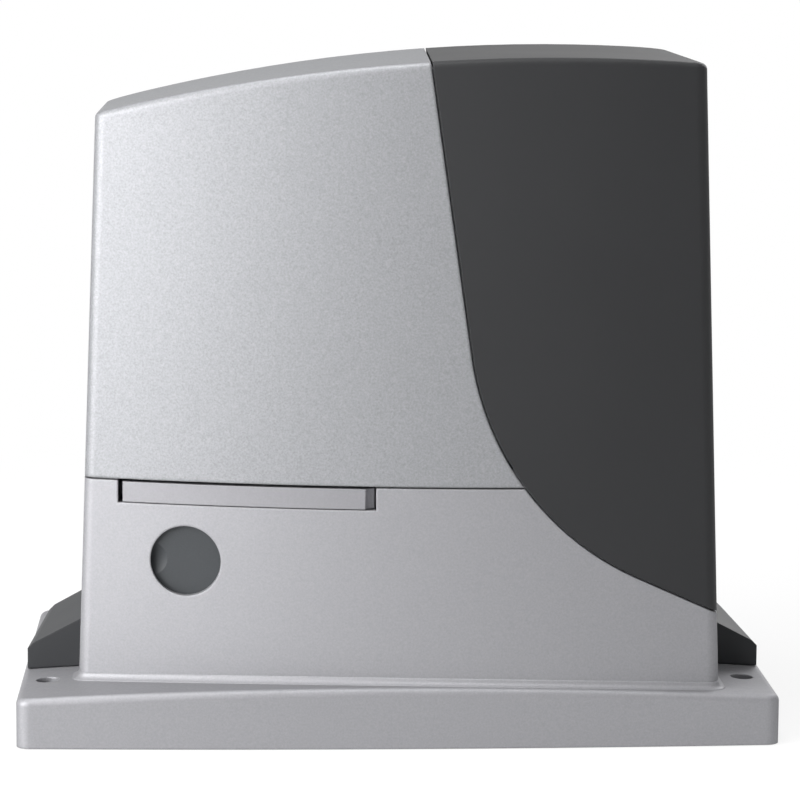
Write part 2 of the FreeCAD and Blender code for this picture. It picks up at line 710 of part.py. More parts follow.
def cap_loft(inset, drop):
    """A cap's solid between its front and rear sections."""
    body = doc.addObject("PartDesign::Body", "cap")
    gap = "fit_gap - %s * 5" % drop
    front = cap_section("cap_reach", "cap_side", inset, gap)
    rear = cap_section("cap_rear_reach", "cap_rear_side", inset, gap)
    if drop:
        for section in (front, rear):
            section[0] = (section[0][0], "arch_end - 5")
            section[1] = (section[1][0], "arch_end - 5")
    loft = body.newObject("PartDesign::AdditiveLoft", "loft")
    loft.Profile = outline(body, "XZ_Plane", front, offset="cap_front - (%s)" % inset)
    loft.Sections = [outline(body, "XZ_Plane", rear, offset="(%s) - cap_rear" % inset)]
    loft.Ruled = True
    return body


def anchor_cap():
    """The hollow plastic cap that hides the nut of one foundation bolt."""
    return cut(cap_loft("0", 0), cap_loft("cap_wall", 1))


cap = node(anchor_cap(), "anchor_cap_right")
mirror = doc.addObject("Part::Mirroring", "mirror")
mirror.Source = cap
mirror.Normal = Vector(1, 0, 0)
node(mirror, "anchor_cap_left")

# Release handle, cam, slide and rod

handle_body = cut(
    common(outer, box("handle_left", "handle_right", "-2 * body_front", "-20", "recess_low + 0.4",
                      "seam_height - seam_gap / 2 - 0.4")),
    housing("handle_thick"),
    rod("z", "pivot_x", "pivot_y", "pivot_radius", "recess_low - 5", "seam_height"),
    rod("z", "handle_right + 2", "-body_front + 3.5", "7", "recess_low - 1", "seam_height + 1"))
node(handle_body, "release_handle")


def release_cam():
    """The handle's pivot pin with its arm and the peg that drives the slide, drawn at rest."""
    start = num("release_swing / 2")
    low = "slide_low + slide_thick + 0.6"
    high = "recess_low - 4.4"
    throw_x = "-cam_throw * sin(release_swing / 2)"
    throw_y = "cam_throw * cos(release_swing / 2)"
    hub = rod("z", "pivot_x", "pivot_y", "pivot_radius + 0.9", low, high)
    eye = rod("z", "pivot_x + " + throw_x, "pivot_y + " + throw_y, "2.6", low, high)
    arm = box("0", "3.6", "0", "cam_throw", low, high)
    offset_x = "pivot_x - 1.8 * cos(release_swing / 2)"
    offset_y = "pivot_y - 1.8 * sin(release_swing / 2)"
    place(arm, offset_x, offset_y, low, (0, 0, 1), start)
    peg = rod("z", "pivot_x + " + throw_x, "pivot_y + " + throw_y, "1.8", "slide_low + 0.5", low)
    pin = rod("z", "pivot_x", "pivot_y", "pivot_radius", low, "seam_height - seam_gap / 2 - 0.4")
    return fuse(hub, eye, arm, peg, pin)


node(release_cam(), "release_cam")


def release_slide():
    """The flat slide that the peg moves, with the wedge that pushes the release rod."""
    peg_x = "(pivot_x - cam_throw * sin(release_swing / 2))"
    top = "slide_low + slide_thick"
    strip = box(peg_x + " - 5", "gear_x + 8", "slide_front", "slide_back", "slide_low", top)
    slot = box(peg_x + " - 2.3", peg_x + " + 2.3", "slide_front + 1.2", "slide_back - 3.8", "slide_low - 1", top + " + 1")
    ramp = "(release_travel / slide_stroke)"
    corners = [("gear_x - 22", "slide_front + 3"), ("gear_x + 8", "slide_front + 3"),
               ("gear_x + 8", "slide_back - 8 * %s" % ramp), ("gear_x - 22", "slide_back + 22 * %s" % ramp)]
    wedge = prism("XY_Plane", corners, "gear_z - 6", top)
    return fuse(cut(strip, slot), wedge)


node(release_slide(), "release_slide")
TIP_REACH = "(slide_back + (rod_radius + fit_gap) / cos(atan(release_travel / slide_stroke)))"
ball = doc.addObject("Part::Sphere", "ball")
ball.setExpression("Radius", ex("rod_radius"))
place(ball, "gear_x", TIP_REACH, "gear_z")
node(cut(fuse(ball, rod("y", "gear_x", "gear_z", "rod_radius", TIP_REACH, "dog_y + 4")),
         rod("x", "dog_y + 2.1", "gear_z", "1.2", "gear_x - 5", "gear_x + 5")), "release_rod")

# Lock behind the round hole


def lock_shutter():
    """The round shutter with a shallow hollow for a finger at its left."""
    disc = lock_rod("0", "shutter_radius", "shutter_skin + fit_gap", "shutter_skin + 2.8")
    finger = doc.addObject("Part::Sphere", "finger")
    finger.setExpression("Radius", ex("shutter_radius"))
    place(finger, *lock_spot("-shutter_radius + 1.6", "shutter_skin + 1.8 - shutter_radius", "0"))
    return cut(disc, finger)


node(lock_shutter(), "lock_shutter")
node(cut(lock_block("-shutter_radius - 3", "shutter_travel + shutter_radius + 4", "cast_wall + 1.4", "cast_wall + 3.2",
                    "-shutter_radius - 1.6", "shutter_radius + 1.6"),
         lock_rod("0", "8.1", "cast_wall - 2", "cast_wall + 6"),
         rod("z", "pivot_x", "pivot_y", "pivot_radius + 1.6", "slide_low", "recess_low")), "lock_guide")
node(cut(lock_rod("0", "11", "cast_wall + 3.2", "cast_wall + 29"), lock_rod("0", "8.1", "cast_wall - 2", "cast_wall + 26")),
     "lock_body")
key_way = lock_block("-0.7", "0.7", "cast_wall + 1", "cast_wall + 20", "-4", "4")
node(cut(lock_rod("0", "8", "cast_wall + 1.8", "cast_wall + 25.5"), key_way), "lock_cylinder")

# Output shaft, dog clutch, worm wheel and pinion


def arc_through(a, b, c):
    """A round edge through three flat points."""
    return Part.Arc(Vector(a[0], a[1], 0), Vector(b[0], b[1], 0), Vector(c[0], c[1], 0)).toShape()


def line_to(a, b):
    """A straight edge between two flat points."""
    return Part.LineSegment(Vector(a[0], a[1], 0), Vector(b[0], b[1], 0)).toShape()


def polar(radius, angle):
    """The flat point at a radius and an angle in radians."""
    return radius * math.cos(angle), radius * math.sin(angle)


def pinion_wire():
    """The outline of an involute spur gear with arcs for its flanks, tips and roots."""
    module, teeth = num("pinion_module"), int(num("pinion_teeth"))
    pitch = module * teeth / 2
    base = pitch * math.cos(math.radians(20))
    root, tip = pitch - 1.25 * module, pitch + module
    involute = lambda angle: math.tan(angle) - angle
    half_pitch = math.pi / (2 * teeth) - 0.1 / pitch

    def half_tooth(radius):
        return half_pitch + involute(math.radians(20)) - involute(math.acos(min(base / radius, 1)))

    start = max(base, root)
    middle = (start + tip) / 2
    edges = []
    for tooth in range(teeth):
        axis = 2 * math.pi * tooth / teeth
        follower = axis + 2 * math.pi / teeth
        a, b, c = half_tooth(start), half_tooth(middle), half_tooth(tip)
        edges.append(line_to(polar(root, axis - a), polar(start, axis - a)))
        edges.append(arc_through(polar(start, axis - a), polar(middle, axis - b), polar(tip, axis - c)))
        edges.append(arc_through(polar(tip, axis - c), polar(tip, axis), polar(tip, axis + c)))
        edges.append(arc_through(polar(tip, axis + c), polar(middle, axis + b), polar(start, axis + a)))
        edges.append(line_to(polar(start, axis + a), polar(root, axis + a)))
        edges.append(arc_through(polar(root, axis + a), polar(root, (axis + follower) / 2), polar(root, follower - a)))
    return Part.Wire(edges)


def wheel_wire(height, turn):
    """The outline of the worm wheel at one face, with straight flanks."""
    module, teeth = num("worm_module"), int(num("wheel_teeth"))
    pitch = module * teeth / 2
    slope = math.tan(math.radians(20))
    thick = (math.pi * module - num("mesh_play")) / 2
    tip, root = pitch + 0.9 * module, pitch - 1.25 * module
    tip_half = (thick / 2 - (tip - pitch) * slope) / tip
    root_half = (thick / 2 + (pitch - root) * slope) / root
    points = []
    for tooth in range(teeth):
        axis = math.pi + turn + 2 * math.pi * tooth / teeth
        points += [polar(root, axis - root_half), polar(tip, axis - tip_half),
                   polar(tip, axis + tip_half), polar(root, axis + root_half)]
    corners = [Vector(x, y, height) for x, y in points]
    return Part.makePolygon(corners + corners[:1])


def feature(label, shape, spot=None):
    """A piece whose shape is worked out above."""
    thing = doc.addObject("Part::Feature", "shape")
    thing.Shape = shape
    if spot is not None:
        thing.Placement = spot
    return node(thing, label)


ALONG_Y = FreeCAD.Rotation(Vector(1, 0, 0), -90)


def pinion():
    """The rack pinion with its bore and keyway."""
    width = num("pinion_width")
    blank = Part.Face(pinion_wire()).extrude(Vector(0, 0, width))
    bore = Part.makeCylinder(num("shaft_radius + run_gap"), width + 2, Vector(0, 0, -1))
    key_seat = Part.makeBox(num("key_wide"), num("shaft_radius + 3.3"), width + 2, Vector(num("-key_wide / 2"), -num("shaft_radius + 3.3"), -1))
    return blank.cut(bore).cut(key_seat)


feature("pinion", pinion(), FreeCAD.Placement(Vector(num("gear_x"), num("pinion_start"), num("gear_z")), ALONG_Y))


def worm_wheel():
    """The bronze wheel: leaning teeth, a recessed web, a bush bore and sockets for the dogs."""
    face = num("wheel_face")
    pitch = num("worm_module * wheel_teeth / 2")
    lean = num("worm_module") / 2 / num("worm_radius") * face / 2 / pitch
    rim = Part.makeLoft([wheel_wire(0, lean), wheel_wire(face, -lean)], True, True)
    bore = Part.makeCylinder(num("shaft_radius + 3"), face + 2, Vector(0, 0, -1))
    body = rim.cut(bore)
    hub, ring = num("dog_radius + 4"), pitch - 9
    web = Part.makeCylinder(ring, 6, Vector(0, 0, -1)).cut(Part.makeCylinder(hub, 8, Vector(0, 0, -2)))
    body = body.cut(web).cut(web.translated(Vector(0, 0, face - 4)))
    for index in range(4):
        socket = dog_sector(num("dog_radius + 0.3"), num("dog_bore - 0.3"), 24, 4.2)
        socket.rotate(Vector(0, 0, 0), Vector(0, 0, 1), 90 * index)
        body = body.cut(socket.translated(Vector(0, 0, face - 3.9)))
    return body


def dog_sector(far, near, width, height):
    """A block between two radii and two sides, as one dog or its socket."""
    ring = Part.makeCylinder(far, height).cut(Part.makeCylinder(near, height))
    half = width / 2
    edge = 2 * far
    side = edge * math.tan(math.radians(half))
    wedge = Part.makePolygon([Vector(0, 0, 0), Vector(edge, -side, 0), Vector(edge, side, 0), Vector(0, 0, 0)])
    return ring.common(Part.Face(wedge).extrude(Vector(0, 0, height)))


feature("worm_wheel", worm_wheel(), FreeCAD.Placement(
    Vector(num("gear_x"), num("wheel_y - wheel_face / 2"), num("gear_z")), ALONG_Y))
node(turned("y", ("gear_x", "wheel_y", "gear_z"), [
    ("-wheel_face / 2 - 2", "shaft_radius + run_gap"), ("wheel_face / 2 - 4", "shaft_radius + run_gap"),
    ("wheel_face / 2 - 4", "shaft_radius + 3"), ("-wheel_face / 2 - 0.2", "shaft_radius + 3"),
    ("-wheel_face / 2 - 0.2", "shaft_radius + 7"), ("-wheel_face / 2 - 2", "shaft_radius + 7")]), "wheel_bush")


def clutch_dog():
    """The sliding ring with four dogs, a counterbore for its spring and a hole for the cross pin."""
    length = num("dog_length")
    ring = Part.makeCylinder(num("dog_radius"), length)
    dogs = []
    for index in range(4):
        dog = dog_sector(num("dog_radius"), num("dog_bore"), 20, 3.6)
        dog.rotate(Vector(0, 0, 0), Vector(0, 0, 1), 90 * index)
        dogs.append(dog.translated(Vector(0, 0, -3.6 + 0.3)))
    body = ring.fuse(dogs)
    body = body.cut(Part.makeCylinder(num("shaft_radius + run_gap"), length + 10, Vector(0, 0, -5)))
    body = body.cut(Part.makeCylinder(num("dog_bore"), length, Vector(0, 0, 4.2)))
    pin_hole = Part.makeCylinder(1.2, 60, Vector(-30, 0, 2.1), Vector(1, 0, 0))
    return body.cut(pin_hole).removeSplitter()


feature("clutch_dog", clutch_dog(), FreeCAD.Placement(Vector(num("gear_x"), num("dog_y"), num("gear_z")), ALONG_Y))
node(rod("x", "dog_y + 2.1", "gear_z", "1.2", "gear_x - dog_radius + 1", "gear_x + dog_radius - 1"), "clutch_cross_pin")


def clutch_spring():
    """The coil that holds the dogs in the wheel."""
    wire = 0.7
    radius = num("shaft_radius + 2.6")
    length = num("case_back - dog_y - 4.2") - 2 * wire - 0.4
    turns, steps = 3, 60
    spots = []
    for index in range(steps + 1):
        x, y = polar(radius, 2 * math.pi * turns * index / steps)
        spots.append(Vector(x, y, wire + 0.2 + length * index / steps))
    section = Part.Wire([Part.makeCircle(wire, spots[0], (spots[1] - spots[0]).normalize())])
    return Part.makePolygon(spots).makePipeShell([section], True, False, 1)


feature("clutch_spring", clutch_spring(), FreeCAD.Placement(
    Vector(num("gear_x"), num("dog_y + 4.2"), num("gear_z")), ALONG_Y))


def output_shaft():
    """The hollow steel shaft: front journal, body, slot for the cross pin and keyway."""
    end = "pinion_start + pinion_width - 1"
    body = turned("y", ("gear_x", "0", "gear_z"), [
        ("hub_front + 2.5", "rod_radius + 0.15"), ("hub_front + 2.5", "journal_radius - run_gap"),
        ("case_front - 1", "journal_radius - run_gap"), ("case_front - 1", "shaft_radius"), (end, "shaft_radius"),
        (end, "4.2"), ("dog_y + 9.5", "4.2"), ("dog_y + 9.5", "rod_radius + 0.15")])
    slot = box("gear_x - 15", "gear_x + 15", "dog_y + 0.6", "dog_y + 3.6 + release_travel", "gear_z - 1.35", "gear_z + 1.35")
    key_seat = box("gear_x - key_wide / 2", "gear_x + key_wide / 2", "pinion_start + 2", end + " + 2",
                   "gear_z + shaft_radius - 3.5", "gear_z + shaft_radius + 2")
    return cut(body, slot, key_seat)


node(output_shaft(), "output_shaft")
node(box("gear_x - key_wide / 2 + 0.02", "gear_x + key_wide / 2 - 0.02", "pinion_start + 2", "pinion_start + pinion_width - 2",
         "gear_z + shaft_radius - 3.5", "gear_z + shaft_radius + 3"), "pinion_key")


def pinion_bolt():
    """The bolt and wide washer that hold the pinion on the shaft."""
    face = "pinion_start + pinion_width"
    profile = [("-24", "0"), ("-24", "4.1"), ("0", "4.1"), ("0", "16"), ("2.5", "16"), ("2.5", "6.6"), ("2.5", "0")]
    hexagon = [("6.5 * %.6f" % turned_about(60 * k)[0], "6.5 * %.6f" % turned_about(60 * k)[1]) for k in range(6)]
    head = prism("XY_Plane", hexagon, "0", "4.5")
    place(head, "gear_x", face + " + 2.5", "gear_z", (1, 0, 0), -90)
    return fuse(turned("y", ("gear_x", face, "gear_z"), profile), head)


node(pinion_bolt(), "pinion_bolt")


def bearing(axis, spot, bore, rim, width):
    """A shielded ball bearing: one ring with a groove at each face between its races."""
    low = "((%s) * 0.7 + (%s) * 0.3)" % (bore, rim)
    high = "((%s) * 0.3 + (%s) * 0.7)" % (bore, rim)
    return turned(axis, spot, [
        ("0", bore), ("0", low), ("0.6", low), ("0.6", high), ("0", high), ("0", rim), (width, rim), (width, high),
        (width + " - 0.6", high), (width + " - 0.6", low), (width, low), (width, bore)])


node(bearing("y", ("gear_x", "seat_start", "gear_z"), "shaft_radius + run_gap", "seat_radius", "rear_bearing_width"), "rear_bearing")
node(bearing("y", ("gear_x", "hub_front + 2.2", "gear_z"), "journal_radius", "seat_radius - 1", "rear_bearing_width"), "front_bearing")
node(turned("y", ("gear_x", "seat_start + rear_bearing_width + 1", "gear_z"), [
    ("0", "shaft_radius + 0.1"), ("0", "seat_radius"), ("7", "seat_radius"), ("7", "seat_radius - 3"),
    ("2", "seat_radius - 3"), ("2", "shaft_radius + 2"), ("6", "shaft_radius + 1.2"), ("6", "shaft_radius + 0.1")]), "shaft_oil_seal")


def gearbox_cover():
    """The cover of the gear case, with the front bearing's hub."""
    plate = rod("y", "gear_x", "gear_z", "case_radius + case_wall", "case_front - 5.8", "case_front - 0.8")
    hub = rod("y", "gear_x", "gear_z", "boss_radius - 1", "hub_front - 1", "case_front - 3")
    lugs = [gear_lug(angle, "lug_radius", "case_front - 5.8", "case_front - 0.8") for angle in LUG_ANGLES]
    ribs = []
    for angle in (30, 90, 150, 210, 270, 330):
        rib = box("0", "case_radius", "-2", "2", "0", "4")
        place(rib, "gear_x", "case_front - 9.5", "gear_z", (0, 0, 1), 0)
        rib.Placement.Rotation = FreeCAD.Rotation(Vector(0, 1, 0), angle).multiply(FreeCAD.Rotation(Vector(1, 0, 0), -90))
        ribs.append(rib)
    seat = rod("y", "gear_x", "gear_z", "seat_radius - 1", "hub_front + 2.2", "case_front")
    hole = rod("y", "gear_x", "gear_z", "rod_radius + 0.4", "hub_front - 2", "case_front")
    holes = [gear_lug(angle, "lug_radius / 2 + 0.2", "hub_front", "case_front") for angle in LUG_ANGLES]
    return cut(fuse(plate, hub, *lugs, *ribs), seat, hole, floor_relief(), *holes)


def floor_relief():
    """What the cover and its gasket lose at the bottom to stand clear of the floor."""
    return box("gear_x - 40", "gear_x + 40", "hub_front - 4", "case_front + 1", "floor_top - 5", "floor_top + fit_gap")


node(gearbox_cover(), "gearbox_cover")
node(cut(fuse(rod("y", "gear_x", "gear_z", "case_radius + case_wall", "case_front - 0.8", "case_front"),
              *[gear_lug(angle, "lug_radius", "case_front - 0.8", "case_front") for angle in LUG_ANGLES]),
         rod("y", "gear_x", "gear_z", "case_radius", "0", "case_front + 1"), floor_relief(),
         *[gear_lug(angle, "lug_radius / 2 + 0.2", "0", "case_front + 1") for angle in LUG_ANGLES]), "gearbox_gasket")


def cap_screw(axis, spot, shank, length, head, height):
    """A socket cap screw whose head's underside is at the spot and whose shank runs the other way."""
    return turned(axis, spot, [
        (length, "0"), (length, shank), ("0", shank), ("0", head), (height, head),
        (height, head + " * 0.55"), (height + " * 0.4", head + " * 0.55"), (height + " * 0.4", "0")])


def gearbox_screw(angle):
    """One screw of the gear case's cover."""
    x, z = turned_about(angle)
    ring = "(case_radius + case_wall + 1)"
    spot = ("gear_x + %.6f * %s" % (x, ring), "case_front - 5.8", "gear_z + %.6f * %s" % (z, ring))
    return cap_screw("y", spot, "lug_radius / 2 - 0.05", "14", "4.2", "-4.5")


node(group(*[gearbox_screw(angle) for angle in LUG_ANGLES]), "gearbox_screws")

# Worm and motor


def worm():
    """The steel worm and armature shaft in one: journals, core and a single-start thread."""
    core = num("worm_radius - 1.25 * worm_module")
    low, high = num("floor_top + 12"), num("tube_top + motor_length + 20")
    steps = [(low, core - 2.55), (low + 11, core), (num("tube_top - 14"), num("shaft_radius - 4.05")), (high, 0)]
    body = None
    for (start, radius), (end, _) in zip(steps, steps[1:]):
        piece = Part.makeCylinder(radius, end - start, Vector(0, 0, start))
        body = piece if body is None else body.fuse(piece)
    module = num("worm_module")
    pitch = math.pi * module
    turns = 9
    slope = math.tan(math.radians(20))
    half = (pitch - 2 * num("mesh_play")) / 4
    inner, tip = core - 0.2, num("worm_radius") + module
    reach = num("worm_radius")
    start = num("gear_z") - turns / 2 * pitch
    root_half = half + (reach - inner) * slope
    tip_half = half - (tip - reach) * slope
    corners = [Vector(inner, 0, -root_half), Vector(tip, 0, -tip_half), Vector(tip, 0, tip_half), Vector(inner, 0, root_half)]
    profile = Part.makePolygon(corners + corners[:1])
    helix = Part.makeHelix(pitch, turns * pitch, reach)
    thread = Part.Wire(helix).makePipeShell([profile], True, True)
    thread.translate(Vector(0, 0, start))
    return body.fuse(thread)


MOTOR_SPOT = FreeCAD.Placement(Vector(num(WORM_X), num("wheel_y"), 0), FreeCAD.Rotation())
feature("worm", worm(), MOTOR_SPOT)
node(bearing("z", (WORM_X, "wheel_y", "floor_top + 12.5"), "worm_radius - 5", "worm_radius + 3", "9"), "worm_bearing_lower")
node(bearing("z", (WORM_X, "wheel_y", "tube_top - 12"), "worm_radius - 4", "worm_radius + 6", "10"), "worm_bearing_upper")


def motor_flange():
    """The plate that joins the motor to the worm tube."""
    plate = rod("z", WORM_X, "wheel_y", "motor_radius", "tube_top", "tube_top + 6")
    hole = rod("z", WORM_X, "wheel_y", "worm_radius", "tube_top - 1", "tube_top + 7")
    bolts = []
    for angle in MOTOR_BOLT_ANGLES:
        x, y = turned_about(angle)
        bolts.append(rod("z", "%s + %.6f * motor_bolt_ring" % (WORM_X, x), "wheel_y + %.6f * motor_bolt_ring" % y,
                         "2.7", "tube_top - 1", "tube_top + 7"))
    return cut(plate, hole, *bolts)


def motor_screw(angle):
    """One screw through the motor's flange into the worm tube's flange."""
    x, y = turned_about(angle)
    spot = ("%s + %.6f * motor_bolt_ring" % (WORM_X, x), "wheel_y + %.6f * motor_bolt_ring" % y, "tube_top + 6")
    return cap_screw("z", spot, "2.45", "-14", "4.2", "4")


node(motor_flange(), "motor_flange")
node(group(*[motor_screw(angle) for angle in MOTOR_BOLT_ANGLES]), "motor_screws")


def motor_ring(far, near, start, end):
    """A ring round the motor's axis, between two heights above the worm tube."""
    solid = rod("z", WORM_X, "wheel_y", far, "tube_top + " + start, "tube_top + " + end)
    if near is None:
        return solid
    return cut(solid, rod("z", WORM_X, "wheel_y", near, "tube_top + %s - 1" % start, "tube_top + %s + 1" % end))


node(motor_ring("motor_radius", "motor_radius - motor_wall", "6", "6 + motor_length"), "motor_can")
magnet_gap = box(WORM_X + " - motor_radius", WORM_X + " + motor_radius", "wheel_y - 6", "wheel_y + 6", "tube_top", "crown_top")
node(cut(motor_ring("motor_radius - motor_wall - 0.1", "motor_radius - 7", "16", "motor_length - 22"), magnet_gap), "motor_magnets")


def rotor():
    """The slotted stack of laminations on the armature shaft."""
    stack = motor_ring("motor_radius - 7.6", "shaft_radius - 4", "20", "motor_length - 26")
    slots = []
    for index in range(12):
        slot = box("motor_radius - 14", "motor_radius", "-1.1", "1.1", "0", "motor_length")
        turn = FreeCAD.Rotation(Vector(0, 0, 1), 30 * index)
        x, y = turned_about(30 * index)
        place(slot, "%s + %.6f * (motor_radius - 14) + %.6f * 1.1" % (WORM_X, x, y),
              "wheel_y + %.6f * (motor_radius - 14) - %.6f * 1.1" % (y, x), "tube_top + 10")
        slot.Placement.Rotation = turn
        slots.append(slot)
    return cut(stack, *slots)


node(rotor(), "rotor_stack")
node(group(motor_ring("motor_radius - 12", "shaft_radius - 3", "11", "20"),
           motor_ring("motor_radius - 12", "shaft_radius - 3", "motor_length - 26", "motor_length - 18")), "rotor_windings")
node(motor_ring("shaft_radius + 1", "shaft_radius - 4", "motor_length - 17", "motor_length - 4"), "commutator")
BRUSH_LOW, BRUSH_HIGH = "tube_top + motor_length - 14", "tube_top + motor_length - 6"
node(group(*[box("%s + %d * (shaft_radius + 1.3) - %d" % (WORM_X, side, 6 if side < 0 else 0),
                 "%s + %d * (shaft_radius + 1.3) + %d" % (WORM_X, side, 0 if side < 0 else 6),
                 "wheel_y - 3.5", "wheel_y + 3.5", BRUSH_LOW, BRUSH_HIGH) for side in (-1, 1)]), "brushes")


def brush_ring():
    """The plate under the end bell that carries the brush boxes."""
    plate = motor_ring("motor_radius - motor_wall - 0.2", "shaft_radius + 3", "motor_length - 3", "motor_length + 1")
    guides = []
    for side in (-1, 1):
        near, far = "shaft_radius + 3", "shaft_radius + 16"
        first, last = (near, far) if side > 0 else ("-(%s)" % far, "-(%s)" % near)
        guides.append(box("%s + %s" % (WORM_X, first), "%s + %s" % (WORM_X, last), "wheel_y - 5.5", "wheel_y + 5.5",
                          BRUSH_LOW + " - 2", "tube_top + motor_length - 2"))
    room = box(WORM_X + " - shaft_radius - 14", WORM_X + " + shaft_radius + 14", "wheel_y - 3.7", "wheel_y + 3.7",
               BRUSH_LOW + " - 0.2", BRUSH_HIGH + " + 0.2")
    return cut(fuse(plate, *guides), room)


node(brush_ring(), "brush_ring")
node(turned("z", (WORM_X, "wheel_y", "tube_top + motor_length + 6"), [
    ("0", "shaft_radius - 3.5"), ("0", "motor_radius"), ("5", "motor_radius"), ("7", "motor_radius - 2"), ("7", "shaft_radius + 5"),
    ("10", "shaft_radius + 4"), ("10", "shaft_radius - 3.5")]), "motor_end_bell")
node(motor_ring("shaft_radius + 3", "shaft_radius - 4", "motor_length + 17.5", "motor_length + 18.7"), "encoder_disc")
node(cut(motor_ring("shaft_radius + 9", None, "motor_length + 13.2", "motor_length + 25"),
         motor_ring("shaft_radius + 7.4", None, "motor_length + 12", "motor_length + 23.4"),
         motor_ring("shaft_radius + 8.3", None, "motor_length + 12", "motor_length + 14")), "encoder_cap")

# Limit switch over the pinion


def limit_switch():
    """The switch block on the casting's rear shelf, with the hub that carries the lever."""
    face = "body_rear + 1"
    block = box("gear_x - limit_half", "gear_x + limit_half", "seat_start + fit_gap", face,
                "seam_height - seam_gap / 2", "limit_z + limit_half")
    hub = rod("y", "gear_x", "limit_z", "limit_half / 2", face, face + " + 4")
    pin = rod("y", "gear_x", "limit_z", "2", face, face + " + 12")
    return fuse(block, hub, pin)


node(limit_switch(), "limit_switch_body")


def limit_lever():
    """The sprung lever: a hub on the pin and a thick round whisker that stands up from it."""
    face = "body_rear + 5.3"
    hub = rod("y", "gear_x", "limit_z", "limit_half / 2", face, face + " + 6")
    whisker = turned("z", ("gear_x", face + " + 3", "limit_z"), [
        ("5", "0"), ("5", "2.9"), ("18", "2.9"), ("20", "2.4"), ("58", "2.4"), ("59", "3.2"), ("63", "3.2"), ("65", "1.8"), ("65", "0")])
    return cut(fuse(hub, whisker), rod("y", "gear_x", "limit_z", "2 + run_gap", face + " - 1", face + " + 8"))


node(limit_lever(), "limit_lever")

# Electronics under the dark cover


def board_holder():
    """The plastic frame for the board and the transformer's shelf, on three legs."""
    back = "board_face + 5.1"
    plate = box("board_left - 2", "board_right + 2", back, back + " + 2.5", "board_low - 12", "board_high + 4")
    shelf = box("board_left + 2", "board_right + 4", back, "body_rear - 14", "shelf_z", "shelf_z + 3")
    legs = [box("board_left - 2", "board_left + 4", back, back + " + 8", "floor_top", "board_low"),
            box("board_right - 4", "board_right + 2", back, back + " + 8", "floor_top", "board_low"),
            box("board_right - 2", "board_right + 4", "body_rear - 20", "body_rear - 14", "floor_top", "shelf_z + 1")]
    posts = [rod("y", x, z, "3", "board_face + 1.6", back + " + 1") for x, z in BOARD_CORNERS]
    holes = [rod("y", x, z, "1.4", "board_face", back + " + 3") for x, z in BOARD_CORNERS]
    window = box("board_left + 14", "board_right - 14", back + " - 1", back + " + 4", "shelf_z + 14", "board_high - 14")
    return cut(fuse(plate, shelf, *legs, *posts), *holes, window)


BOARD_CORNERS = [(x, z) for x in ("board_left + 4", "board_right - 4") for z in ("board_low + 4", "board_high - 4")]
node(board_holder(), "board_holder")
node(cut(box("board_left", "board_right", "board_face", "board_face + 1.6", "board_low", "board_high"),
         *[rod("y", x, z, "1.6", "board_face - 1", "board_face + 3") for x, z in BOARD_CORNERS]), "control_board")
node(group(*[turned("y", (x, "board_face", z), [
    ("6", "0"), ("6", "1.35"), ("0", "1.35"), ("0", "2.8"), ("-1", "2.8"), ("-1.8", "1.8"), ("-1.8", "0")])
    for x, z in BOARD_CORNERS]), "board_screws")


def on_board(x, z, wide, high, deep):
    """A block that stands on the board's front."""
    return box("board_left + " + x, "board_left + %s + %s" % (x, wide), "board_face - " + deep, "board_face",
               "board_low + " + z, "board_low + %s + %s" % (z, high))


def terminal_block(index):
    """A pluggable block with four wire holes in its lower face."""
    block = on_board("%d" % (9 + 18 * index), "1", "16.5", "9", "10")
    holes = [rod("z", "board_left + %g" % (11.6 + 18 * index + 4 * pole), "board_face - 6", "1.4", "board_low", "board_low + 6")
             for pole in range(4)]
    return cut(block, *holes)


node(group(*[terminal_block(index) for index in range(4)]), "terminal_blocks")
RELAYS = [on_board("8", z, "16", "20", "12") for z in ("20", "44")]
CAPACITORS = [rod("y", "board_left + %d" % x, "board_low + %d" % z, "%g" % r, "board_face - 12", "board_face")
              for x, z, r in ((36, 28, 6.5), (51, 28, 6.5), (36, 44, 4))]
FUSE = [on_board("66", "20", "5", "7", "7"), on_board("66", "38", "5", "7", "7"),
        rod("z", "board_left + 68.5", "board_face - 4.5", "2.4", "board_low + 27", "board_low + 38")]
CHIPS = [on_board("30", "56", "13", "13", "1.8"), on_board("54", "62", "8", "6", "1.6"), on_board("10", "72", "24", "30", "5")]
node(group(*RELAYS, *CAPACITORS, *FUSE, *CHIPS), "board_components")
BUTTON_SPOTS = {"open": 50, "stop": 62, "close": 74}
node(group(*[cut(on_board("%d" % (x - 3.5), "107.5", "7", "7", "3.5"),
                 rod("y", "board_left + %d" % x, "board_low + 111", "1.85", "board_face - 4", "board_face - 1.4"))
             for x in BUTTON_SPOTS.values()]), "button_bases")
for name, x in BUTTON_SPOTS.items():
    node(rod("y", "board_left + %d" % x, "board_low + 111", "1.75", "board_face - 6.2", "board_face - 1.8"), "button_" + name)

